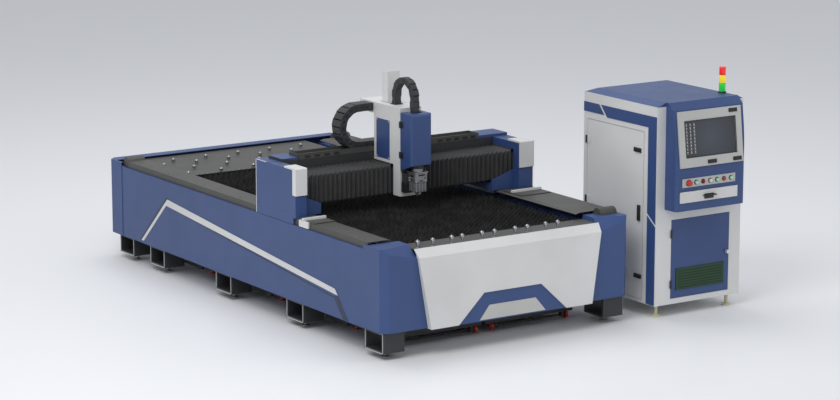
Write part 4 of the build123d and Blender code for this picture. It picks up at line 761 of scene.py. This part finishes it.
# Carriage: screws, chain entries and the motor cover's foot
def add_carriage_trim():
    screws = bmesh.new()
    for y in (1250, 1594):
        for z in (1215, 1600):
            screw(screws, at(CARRIAGE_LEFT, y, z), LEFT)
            screw(screws, at(CARRIAGE_RIGHT, y, z), RIGHT)
    for y in (1392, 1561):
        for z in (1222, 1512):
            screw(screws, at(CARRIAGE_LEFT - 1.5, y, z), LEFT)
    piece("carriage_screws", screws, "grey", "carriage", smooth=True)
    entry = bmesh.new()
    for x in (1006, 1077):
        mm_block(entry, x, x + 7, 1392, 1462, PLATE_TOP - 1, PLATE_TOP + 4, 1)
    for y in (1388, 1460):
        mm_block(entry, 1006, 1084, y, y + 6, PLATE_TOP - 1, PLATE_TOP + 4, 1)
    mm_block(entry, 1011, 1079, 1393, 1461, 1616, 1617)
    piece("chain_entry", entry, "black", "carriage")
    foot = bmesh.new()
    mm_block(foot, 1011, CARRIAGE_RIGHT, 1514, 1606, PLATE_TOP + 0.5, PLATE_TOP + 8, 1.5)
    mm_block(foot, 1022, 1134, 1525, 1595, 1885, 1888, 0.8)
    piece("motor_cover_foot", foot, "grey", "carriage")


# Cutting head: a cast body with a slotted front, ribs below, a nozzle and its fittings
BARREL_FOOT = 1062
BARREL_TALL = 177
BARREL_RADIUS = 45
HEAD_FRONT = 58
HEAD_SIDE = 57
RIB_WIDTH = 17
RIB_FOOT = 992
RIB_TOP = 1066
NECK_FOOT = 981
NOZZLE_TIP = 953
FRONT_SLOTS = ((-26, 32, 1120, 1132), (26, 38, 1098, 1108), (-18, 14, 1078, 1086))


def add_head_body():
    x, y = HEAD_AXIS
    body = bmesh.new()
    rod(body, at(x, y, BARREL_FOOT), UP, BARREL_RADIUS, BARREL_TALL, 40)
    mm_block(body, x - HEAD_SIDE, x + HEAD_SIDE, y - HEAD_FRONT, y + HEAD_FRONT, 1063, 1150, 8)
    mm_block(body, x - 64, x + 64, y - 61, y + 59, 1140, 1150, 3)
    mm_block(body, x - 44, x + 50, y - 46, y + 50, RIB_FOOT - 2, RIB_TOP, 5)
    for left in (-50, -24, 4, 32):
        mm_block(body, x + left, x + left + RIB_WIDTH, y - 56, y - 40, RIB_FOOT, RIB_TOP, 3)
    for front in (-40, -8, 26):
        for left, right in ((-56, -40), (44, 56)):
            rib = (x + left, x + right, y + front, y + front + RIB_WIDTH)
            mm_block(body, *rib, RIB_FOOT, RIB_TOP, 3)
    turned(body, at(x, y, NECK_FOOT), UP, [(22, 0), (30, 2), (33, 5), (33, 11), (0, 11)], 40)
    piece("head_body", body, "alloy", "head", ["cutting_head"])


def add_head_fittings():
    x, y = HEAD_AXIS
    dark = bmesh.new()
    for left, right, low, high in FRONT_SLOTS:
        mm_block(dark, x + left, x + right, y - HEAD_FRONT - 1.4, y - HEAD_FRONT + 2, low, high, 1)
    mm_block(dark, x - 58.2, x - 56, y - 34, y + 20, 1112, 1124, 1)
    turned(dark, at(x - HEAD_SIDE, y - 6, 1090), LEFT, [(11, -1), (11, 2), (8, 3), (0, 3)], 24)
    mm_block(dark, 958, 1026, 1165, 1228, 978, 1060, 3)
    piece("head_inserts", dark, "black", "head")
    sensor = bmesh.new()
    mm_block(sensor, 962, 1010, 1168, 1226, 1059, 1129, 3)
    piece("height_sensor_box", sensor, "charcoal", "head")
    nozzle = bmesh.new()
    profile = [(3, 0), (5, 0), (12, 12), (14, 12.5), (14, 18), (20, 25), (26, 28), (26, 30), (0, 30)]
    turned(nozzle, at(x, y, NOZZLE_TIP), UP, profile, 40)
    piece("nozzle", nozzle, "steel", "head", smooth=True)
    fittings = bmesh.new()
    for z in (1098, 1078):
        profile = [(6, -2), (6, 5), (4.5, 6), (4.5, 12), (0, 12)]
        turned(fittings, at(x - HEAD_SIDE, y + 24, z), LEFT, profile, 20)
    for left in (-46, 46):
        for z in (1074, 1130):
            screw(fittings, at(x + left, y - HEAD_FRONT, z), FRONT)
    piece("head_fittings", fittings, "steel", "head", smooth=True)


COVER_HINGES = (1250, 1490)
COVER_CATCHES = (1240, 1560)
HINGE_KNUCKLES = 3
HINGE_PITCH = 16.4
HINGE_RADIUS = 6.6


def add_cover_trim():
    hinges = bmesh.new()
    for z in COVER_HINGES:
        for step in range(HINGE_KNUCKLES):
            low = at(944, 1219.3, z + 1 + step * HINGE_PITCH)
            rod(hinges, low, UP, HINGE_RADIUS, HINGE_PITCH - 1.2, 20)
        mm_block(hinges, 947.6, 950.2, 1182, 1222, z, z + 50, 0.6)
    piece("cover_hinges", hinges, "black", "head_cover", smooth=True)
    catches = bmesh.new()
    for z in COVER_CATCHES:
        turned(catches, at(CARRIAGE_RIGHT, 1150, z), RIGHT, [(7, -1), (7, 1.5), (5, 2.4), (0, 2.4)], 20)
    piece("cover_catches", catches, "black", "head_cover", smooth=True)


# Bed: painted highlight strips round the legs, painted shadow lines and seams on the panels, and screws
LEG_FRONTS = (48, 1188, 2309, 3436, 3982)
LEG_LENGTH = 247
LEG_HIGHLIGHT_WIDTH = 7
LEG_HIGHLIGHT_PROUD = 1.2


def add_leg_edge_highlights():
    # Pale grey strips round each leg's outer face: painted highlight where the legs' edges catch the light.
    rims = bmesh.new()
    for outer, side in ((LEG_FACE, -1), (BED_WIDTH - LEG_FACE, 1)):
        face = sorted((outer, outer + side * LEG_HIGHLIGHT_PROUD))
        for front in LEG_FRONTS:
            side_frame(rims, face, front, front + LEG_LENGTH, LEG_BOTTOM, LEG_TOP, LEG_HIGHLIGHT_WIDTH)
    piece("leg_edge_highlights", rims, "grey", "machine")


def side_strip(bm, points, side):
    # A thin strip on a side panel, from (y, z) points; side is 0 for left and 1 for right.
    proud = 1.4
    near = BED_WIDTH - proud if side else proud
    depth = -1.0 if side else 1.0
    extruded(bm, [at(near, y, z) for y, z in points], Vector((depth * MM, 0, 0)))


def add_panel_lines():
    # Painted shadow: thin deep blue strips under and beside the white stripes on both side panels.
    lines = bmesh.new()
    for side in (0, 1):
        side_strip(lines, [(639, 386), (702, 374), (566, 218), (490, 218)], side)
        side_strip(lines, [(704, 372), (3296, 617), (3290, 604), (694, 359)], side)
        side_strip(lines, [(3790, 240), (3320, 669), (3334, 680), (3812, 240)], side)
    piece("panel_shadow_lines", lines, "deep_blue", "machine")
    seams = bmesh.new()
    face = (BED_REAR - 0.4, BED_REAR + 1)
    mm_block(seams, 240, BED_WIDTH - 240, *face, 300, 303)
    for x in (760, 1520):
        mm_block(seams, x, x + 2, *face, 216, 812)
    piece("rear_panel_seams", seams, "deep_blue", "machine")


FLANGE_SCREWS = 8
FLANGE_RADIUS = 113
DUCT_CENTRE = 560


def add_bed_screws():
    screws = bmesh.new()
    for y in (420, 1000, 1600, 2200, 2800, 3400, 3900):
        for x in (60, BED_WIDTH - 60):
            screw(screws, at(x, y, RAIL_COVER_TOP), UP)
    piece("cover_screws", screws, "olive", "machine", smooth=True)
    rear = bmesh.new()
    for x in (120, 640, 880, 1400, 1640, 2160):
        for z in (250, 780):
            screw(rear, at(x, BED_REAR, z), BACK)
    for step in range(FLANGE_SCREWS):
        angle = math.tau * (step + 0.5) / FLANGE_SCREWS
        x = BED_WIDTH / 2 + FLANGE_RADIUS * math.cos(angle)
        screw(rear, at(x, BED_REAR + 5, DUCT_CENTRE + FLANGE_RADIUS * math.sin(angle)), BACK)
    piece("rear_screws", rear, "steel", "machine", smooth=True)


# Slag carts: wheels in two finishes, rims and pulls
CART_STARTS = {"left": 290, "right": 1155}
CART_WIDTH = 835
CART_FRONT = 350
CART_REAR = 3500
CART_RIM = (194, 201)
PULL_LEFT = 340
PULL_RIGHT = 490
AXLES = (400, 980, 2110, 3250)
WHEEL_CENTRE = 30
HUB_REACH = 9


def add_wheels(side, start):
    for number, y in enumerate(AXLES, start=1):
        body = f"wheelset_{side}_{number}"
        two_tone(
            f"dressed_{body}",
            body,
            body,
            ("red", "charcoal"),
            lambda place, axle=y: int(math.hypot(place.y - axle, place.z - WHEEL_CENTRE) < HUB_REACH),
        )
        caps = bmesh.new()
        for x, outward in ((start + 78, -1), (start + 810, 1)):
            profile = [(15, -1), (15, 1.2), (10, 2.5), (0, 2.5)]
            turned(caps, at(x, y, WHEEL_CENTRE), (outward, 0, 0), profile, 20)
        piece(f"hub_caps_{side}_{number}", caps, "steel", body, smooth=True)


def add_cart_parts():
    for side, start in CART_STARTS.items():
        add_wheels(side, start)
        rim = bmesh.new()
        for x in (start, start + CART_WIDTH - 6):
            mm_block(rim, x - 2, x + 8, CART_FRONT, CART_REAR, *CART_RIM, 1.5)
        for y in (CART_FRONT, CART_REAR - 8):
            mm_block(rim, start, start + CART_WIDTH, y - 2, y + 8, *CART_RIM, 1.5)
        piece(f"cart_rim_{side}", rim, "charcoal", f"slag_cart_{side}")
        pull = bmesh.new()
        for x in (start + PULL_LEFT, start + PULL_RIGHT - 10):
            mm_block(pull, x, x + 10, 336, CART_FRONT + 2, 118, 128, 1.5)
        mm_block(pull, start + PULL_LEFT, start + PULL_RIGHT, 330, 338, 116, 130, 2.5)
        piece(f"cart_pull_{side}", pull, "black", f"slag_cart_{side}")


# Console: screen surround, marks, latches, button rings and keyboard
SCREEN_HALF = (250.5, 140)
MARK_ROWS = 9
MARK_COLUMNS = 3
BEZEL_LATCHES = ((232, 190, 84), (252, -192, 84), (0, -190, 88))
BEZEL_SCREWS = ((-300, -205), (-300, 205), (300, 205), (305, -215))
BUTTON_RING = 19
STOP_RING = 27


def screen_axes():
    # The tilted bezel: its middle, and its right, up and outward directions.
    low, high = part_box("monitor_bezel")
    up = Vector((0, 57, 460)).normalized()
    outward = Vector((0, -460, 57)).normalized()
    return (low + high) / 2, Vector((1, 0, 0)), up, outward


def tilted_block(bm, left, right, low, high, depth0, depth1):
    middle, along, up, outward = screen_axes()
    corners = [
        middle + (along * x + up * z + outward * depth0) * MM
        for x, z in ((left, low), (right, low), (right, high), (left, high))
    ]
    extruded(bm, corners, outward * (depth1 - depth0) * MM)


def add_screen_parts():
    half_w, half_h = SCREEN_HALF
    lips = bmesh.new()
    for z in (half_h - 1, -half_h - 5):
        tilted_block(lips, -half_w - 5, half_w + 5, z, z + 6, 4, 7.5)
    for x in (-half_w - 5, half_w - 1):
        tilted_block(lips, x, x + 6, -half_h, half_h, 4, 7.5)
    piece("screen_surround", lips, "black", "machine")
    marks = bmesh.new()
    for row in range(MARK_ROWS):
        z = 116 - row * 27
        for column in range(MARK_COLUMNS):
            x = -238 + column * 38
            tilted_block(marks, x, x + 11, z - 7, z + 4, 0.2, 0.6)
            tilted_block(marks, x - 4, x + 15, z - 14, z - 11, 0.2, 0.5)
    piece("screen_marks", marks, "grey", "machine")


def add_bezel_parts():
    latches = bmesh.new()
    for x, z, width in BEZEL_LATCHES:
        tilted_block(latches, x - width / 2, x + width / 2, z - 15, z + 15, 5, 10)
        tilted_block(latches, x - width / 2 + 8, x + width / 2 - 8, z - 9, z + 9, 10, 13)
    piece("bezel_latches", latches, "black", "machine")
    screws = bmesh.new()
    middle, along, up, outward = screen_axes()
    for x, z in BEZEL_SCREWS:
        screw(screws, middle + (along * x + up * z + outward * 6) * MM, outward)
    low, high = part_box("control_plate")
    for x in (low.x + 12 * MM, high.x - 12 * MM):
        for z in (low.z + 12 * MM, high.z - 12 * MM):
            screw(screws, Vector((x, low.y, z)), FRONT)
    piece("console_screws", screws, "grey", "machine", smooth=True)


def cap_ring(bm, node, radius):
    low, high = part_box(node)
    place = Vector(((low.x + high.x) / 2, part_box("control_plate")[0].y, (low.z + high.z) / 2))
    turned(bm, place, FRONT, [(8, 0), (radius, 0), (radius, 3), (radius - 2, 3.8), (8, 3.8)], 32)


def add_button_rings():
    rings = bmesh.new()
    for number in range(1, 6):
        cap_ring(rings, f"push_button_{number}", BUTTON_RING)
    cap_ring(rings, "selector_knob", BUTTON_RING)
    piece("button_rings", rings, "black", "machine", smooth=True)
    collar = bmesh.new()
    cap_ring(collar, "emergency_stop", STOP_RING)
    piece("stop_collar", collar, "dark_red", "machine", smooth=True)
    for number in (1, 3, 5):
        node = f"push_button_{number}"
        low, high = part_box(node)
        centre = Vector(((low.x + high.x) / 2, low.y, (low.z + high.z) / 2))
        face = bmesh.new()
        turned(face, centre, FRONT, [(0, -0.4), (8, -0.4), (8, 0.6), (6.5, 1.2), (0, 1.2)], 28)
        piece(f"lit_face_{number}", face, "pale", node, smooth=True)


KEY_ROWS = 5
KEY_COLUMNS = 20
DRAWER_FACE = -187.5


def add_keyboard():
    low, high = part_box("keyboard_drawer")
    two_tone(
        "dressed_drawer",
        "keyboard_drawer",
        "keyboard_drawer",
        ("white", "black"),
        lambda place: int(place.y < DRAWER_FACE),
    )
    base = bmesh.new()
    keys = bmesh.new()
    floor = low.z + 6 * MM
    left = low.x + 40 * MM
    right = high.x - 40 * MM
    front = low.y + 70 * MM
    block(base, (left, front, floor), (right, front + 190 * MM, floor + 16 * MM), 3)
    step = (right - left - 20 * MM) / KEY_COLUMNS
    for row in range(KEY_ROWS):
        for column in range(KEY_COLUMNS):
            x = left + 10 * MM + column * step
            y = front + (14 + row * 34) * MM
            block(keys, (x, y, floor + 16 * MM), (x + step - 3 * MM, y + 28 * MM, floor + 22 * MM), 1)
    piece("keyboard_base", base, "black", "keyboard_drawer")
    piece("keyboard_keys", keys, "charcoal", "keyboard_drawer")
    latch = bmesh.new()
    mm_block(latch, 2858, 2950, -191, -186.6, 951, 991, 1.5)
    piece("drawer_latch", latch, "black", "keyboard_drawer")


# Cabinet doors and their hardware
SIDE_DOOR = (125, 858, 128, 1470)
DOOR_EDGE = 3
SIDE_HINGES = (786, 1274)
SIDE_LATCHES = ((200, 1316), (178, 309))
LOWER_HINGES = (230, 635)
KNUCKLE_RADIUS = 8.5
KNUCKLE_LENGTH = 62


def add_side_door_parts():
    edges = bmesh.new()
    side_frame(edges, (CABINET_LEFT - 0.8, CABINET_LEFT + 0.4), *SIDE_DOOR, DOOR_EDGE)
    piece("side_door_edges", edges, "grey", "side_door")
    parts = bmesh.new()
    for z in SIDE_HINGES:
        rod(parts, at(2491.7, 862, z - 1), UP, KNUCKLE_RADIUS, KNUCKLE_LENGTH, 24)
        mm_block(parts, 2497.5, 2500.8, 828, 862, z, z + 60, 0.8)
    for y, z in SIDE_LATCHES:
        mm_block(parts, 2488.5, 2500.5, y - 44, y + 44, z - 17, z + 17, 2)
        mm_block(parts, 2486, 2489, y - 30, y + 12, z - 9, z + 9, 1)
    mm_block(parts, 2484.6, 2500.6, 157, 187, 754, 880, 2.5)
    mm_block(parts, 2483, 2486, 164, 180, 770, 830, 1)
    piece("side_door_hardware", parts, "black", "side_door", smooth=True)


def add_lower_door_parts():
    hinges = bmesh.new()
    for z in LOWER_HINGES:
        rod(hinges, at(2653, -46.3, z - 1), UP, KNUCKLE_RADIUS, KNUCKLE_LENGTH, 24)
    piece("lower_door_hinges", hinges, "black", "lower_door", smooth=True)
    knob = bmesh.new()
    profile = [(15, -1), (15, 4), (11, 6), (11, 14), (15.5, 17), (15.5, 23), (12, 25), (0, 25)]
    turned(knob, at(3219, -38, 460), FRONT, profile, 32)
    piece("lower_door_knob", knob, "pale", "lower_door", smooth=True)
    low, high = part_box("vent_panel")
    rim = bmesh.new()
    inset = 4 * MM
    wide = 5 * MM
    block(
        rim,
        (low.x + inset, high.y - 1.2 * MM, low.z + inset),
        (high.x - inset, high.y - 0.2 * MM, high.z - inset),
    )
    front = low.y - 0.8 * MM
    rear = low.y + 1 * MM
    for z in (low.z, high.z - wide):
        block(rim, (low.x, front, z), (high.x, rear, z + wide), 0.3)
    for x in (low.x, high.x - wide):
        block(rim, (x, front, low.z), (x + wide, rear, high.z), 0.3)
    piece("vent_rim", rim, "vent", "lower_door")


BEACON_BASE = 12
LENS_TONES = ("lamp_green", "lamp_yellow", "lamp_red")


def add_beacon():
    low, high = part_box("beacon")
    centre = (low + high) / 2
    centre.z = low.z
    lens_height = ((high.z - low.z) / MM - BEACON_BASE) / len(LENS_TONES)
    base = bmesh.new()
    turned(base, centre, UP, [(0, 0), (33, 0), (33, 8), (27.5, BEACON_BASE), (0, BEACON_BASE)], 40)
    for level in (1, 2):
        rod(base, raised(centre, BEACON_BASE - 2 + level * lens_height), UP, 26, 3, 40)
    piece("beacon_base", base, "black", "machine", ["beacon"], smooth=True)
    end = lens_height - 2
    profile = [(0, 0.4), (26, 0.4), (27, 2), (27, end - 2), (25, end), (0, end)]
    for level, tone in enumerate(LENS_TONES):
        lens = bmesh.new()
        turned(lens, raised(centre, BEACON_BASE + level * lens_height), UP, profile, 40)
        piece(f"beacon_{tone}", lens, tone, "machine", smooth=True)


GRILLE_SLITS = 6
LOUVRES = 9
LOUVRE_PITCH = 34


def add_cabinet_trim():
    rim = bmesh.new()
    mm_block(rim, CABINET_LEFT - 0.6, 3352.6, -38.6, CABINET_REAR, 1674, 1683, 2)
    piece("roof_joint", rim, "white", "machine")
    grille = bmesh.new()
    low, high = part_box("laser_source")
    left = low.x + 60 * MM
    right = high.x - 60 * MM
    for step in range(GRILLE_SLITS):
        z = low.z + (90 + step * 55) * MM
        block(grille, (left, low.y - 2 * MM, z), (right, low.y + 1 * MM, z + 12 * MM), 0.5)
    piece("source_grille", grille, "grey", "machine")
    louvres = bmesh.new()
    face = (CABINET_REAR - 0.8, CABINET_REAR)
    for step in range(LOUVRES):
        z = 300 + step * LOUVRE_PITCH
        mm_block(louvres, 2700, 3150, *face, z, z + 14, 0.5)
    mm_block(louvres, 2560, 3290, *face, 1500, 1503)
    piece("rear_louvres", louvres, "black", "machine")


# Stage: floor, lights and camera
CAMERA_PLACE = (-10697, -16682, 5315)
CAMERA_YAW = 33.45
CAMERA_PITCH = 11.64
FOCAL_PIXELS = 2778.3
PHOTO_WIDTH = 840
SENSOR_WIDTH = 36
FLOOR_REACH = 60


def add_light(name, place, target, size, power):
    data = bpy.data.lights.new(name, "AREA")
    data.shape = "DISK"
    data.size = size
    data.energy = power
    lamp = bpy.data.objects.new(name, data)
    lamp.location = place
    lamp.rotation_euler = (Vector(target) - Vector(place)).to_track_quat("-Z", "Y").to_euler()
    bpy.context.scene.collection.objects.link(lamp)


def add_floor():
    mesh = bpy.data.meshes.new("floor")
    corners = [(x * FLOOR_REACH, y * FLOOR_REACH, 0) for x, y in ((-1, -1), (1, -1), (1, 1), (-1, 1))]
    mesh.from_pydata(corners, [], [(0, 1, 2, 3)])
    material, tree, shader = surface("floor_paint", colours().floor, 0.6)
    vary_roughness(tree, shader, noise(tree, 2, 3), 0.5, 0.7)
    mesh.materials.append(material)
    floor = bpy.data.objects.new("floor", mesh)
    bpy.context.scene.collection.objects.link(floor)


def add_studio():
    scene = bpy.context.scene
    scene.view_settings.view_transform = "Standard"
    world = bpy.data.worlds.new("studio")
    world.use_nodes = True
    set_inputs(world.node_tree.nodes["Background"], Color=(0.93, 0.95, 1.0, 1), Strength=0.62)
    scene.world = world
    add_light("key", (-7, -5, 9), (0, 0, 0.6), 6, 520)
    add_light("fill", (9, -8, 6), (0.5, 0, 0.6), 7, 110)
    add_light("top", (0, 3, 10), (0, 0, 0.6), 8, 300)


def add_camera():
    data = bpy.data.cameras.new("camera")
    data.sensor_width = SENSOR_WIDTH
    data.lens = FOCAL_PIXELS / PHOTO_WIDTH * SENSOR_WIDTH
    data.clip_end = 200
    camera = bpy.data.objects.new("camera", data)
    camera.location = at(*CAMERA_PLACE)
    camera.rotation_euler = (math.radians(90 - CAMERA_PITCH), 0, math.radians(-CAMERA_YAW))
    bpy.context.scene.collection.objects.link(camera)
    bpy.context.scene.camera = camera


class CUTTER_OT_finishes(Operator):
    """Make the paints, metals and plastics and put them on the frame's own parts"""

    bl_idname = "cutter.finishes"
    bl_label = "Finishes"

    def execute(self, context):
        make_materials()
        dress_nodes()
        return {"FINISHED"}


class CUTTER_OT_slats(Operator):
    """Saw-toothed support slats"""

    bl_idname = "cutter.slats"
    bl_label = "Support slats"

    def execute(self, context):
        add_slats()
        return {"FINISHED"}


class CUTTER_OT_ball_units(Operator):
    """Steel balls in their cups"""

    bl_idname = "cutter.ball_units"
    bl_label = "Ball units"

    def execute(self, context):
        add_ball_units()
        return {"FINISHED"}


class CUTTER_OT_bed_trim(Operator):
    """Painted highlight strips round the legs, painted shadow lines, seams and screws of the bed"""

    bl_idname = "cutter.bed_trim"
    bl_label = "Bed trim"

    def execute(self, context):
        add_leg_edge_highlights()
        add_panel_lines()
        add_bed_screws()
        return {"FINISHED"}


class CUTTER_OT_carts(Operator):
    """Wheels, rims and pulls of the slag carts"""

    bl_idname = "cutter.carts"
    bl_label = "Slag carts"

    def execute(self, context):
        add_cart_parts()
        return {"FINISHED"}


class CUTTER_OT_gantry(Operator):
    """Beam, feet, edges and bellows frames of the gantry"""

    bl_idname = "cutter.gantry"
    bl_label = "Gantry"

    def execute(self, context):
        add_gantry_finishes()
        add_gantry_edges()
        add_tray_trim()
        add_bellows()
        add_gantry_screws()
        return {"FINISHED"}


class CUTTER_OT_chains(Operator):
    """Links of both energy chains"""

    bl_idname = "cutter.chains"
    bl_label = "Energy chains"

    def execute(self, context):
        add_chains()
        return {"FINISHED"}


class CUTTER_OT_head(Operator):
    """Carriage trim, cutting head and the hinges of its cover"""

    bl_idname = "cutter.head"
    bl_label = "Carriage and head"

    def execute(self, context):
        add_carriage_trim()
        add_head_body()
        add_head_fittings()
        add_cover_trim()
        return {"FINISHED"}


class CUTTER_OT_console(Operator):
    """Screen, buttons and keyboard of the console"""

    bl_idname = "cutter.console"
    bl_label = "Console"

    def execute(self, context):
        add_screen_parts()
        add_bezel_parts()
        add_button_rings()
        add_keyboard()
        return {"FINISHED"}


class CUTTER_OT_cabinet(Operator):
    """Door hardware, vents and beacon of the cabinet"""

    bl_idname = "cutter.cabinet"
    bl_label = "Cabinet"

    def execute(self, context):
        add_side_door_parts()
        add_lower_door_parts()
        add_beacon()
        add_cabinet_trim()
        return {"FINISHED"}


class CUTTER_OT_stage(Operator):
    """Floor, lights and camera"""

    bl_idname = "cutter.stage"
    bl_label = "Stage"

    def execute(self, context):
        add_floor()
        add_studio()
        add_camera()
        return {"FINISHED"}


OPERATORS = (
    CUTTER_OT_finishes,
    CUTTER_OT_slats,
    CUTTER_OT_ball_units,
    CUTTER_OT_bed_trim,
    CUTTER_OT_carts,
    CUTTER_OT_gantry,
    CUTTER_OT_chains,
    CUTTER_OT_head,
    CUTTER_OT_console,
    CUTTER_OT_cabinet,
    CUTTER_OT_stage,
)


class CUTTER_PT_panel(Panel):
    """Buttons for each step, in the order in which they run"""

    bl_label = "Sheet cutter"
    bl_space_type = "VIEW_3D"
    bl_region_type = "UI"
    bl_category = "Sheet cutter"

    def draw(self, context):
        for step in OPERATORS:
            self.layout.operator(step.bl_idname)


CLASSES = (CutterSizes, CutterColours, *OPERATORS, CUTTER_PT_panel)


def register():
    for item in CLASSES:
        bpy.utils.register_class(item)
    bpy.types.Scene.cutter_sizes = bpy.props.PointerProperty(type=CutterSizes)
    bpy.types.Scene.cutter_colours = bpy.props.PointerProperty(type=CutterColours)


def unregister():
    del bpy.types.Scene.cutter_colours
    del bpy.types.Scene.cutter_sizes
    for item in reversed(CLASSES):
        bpy.utils.unregister_class(item)


def main():
    register()
    for step in OPERATORS:
        getattr(bpy.ops.cutter, step.bl_idname.removeprefix("cutter."))()


if __name__ == "__main__":
    main()
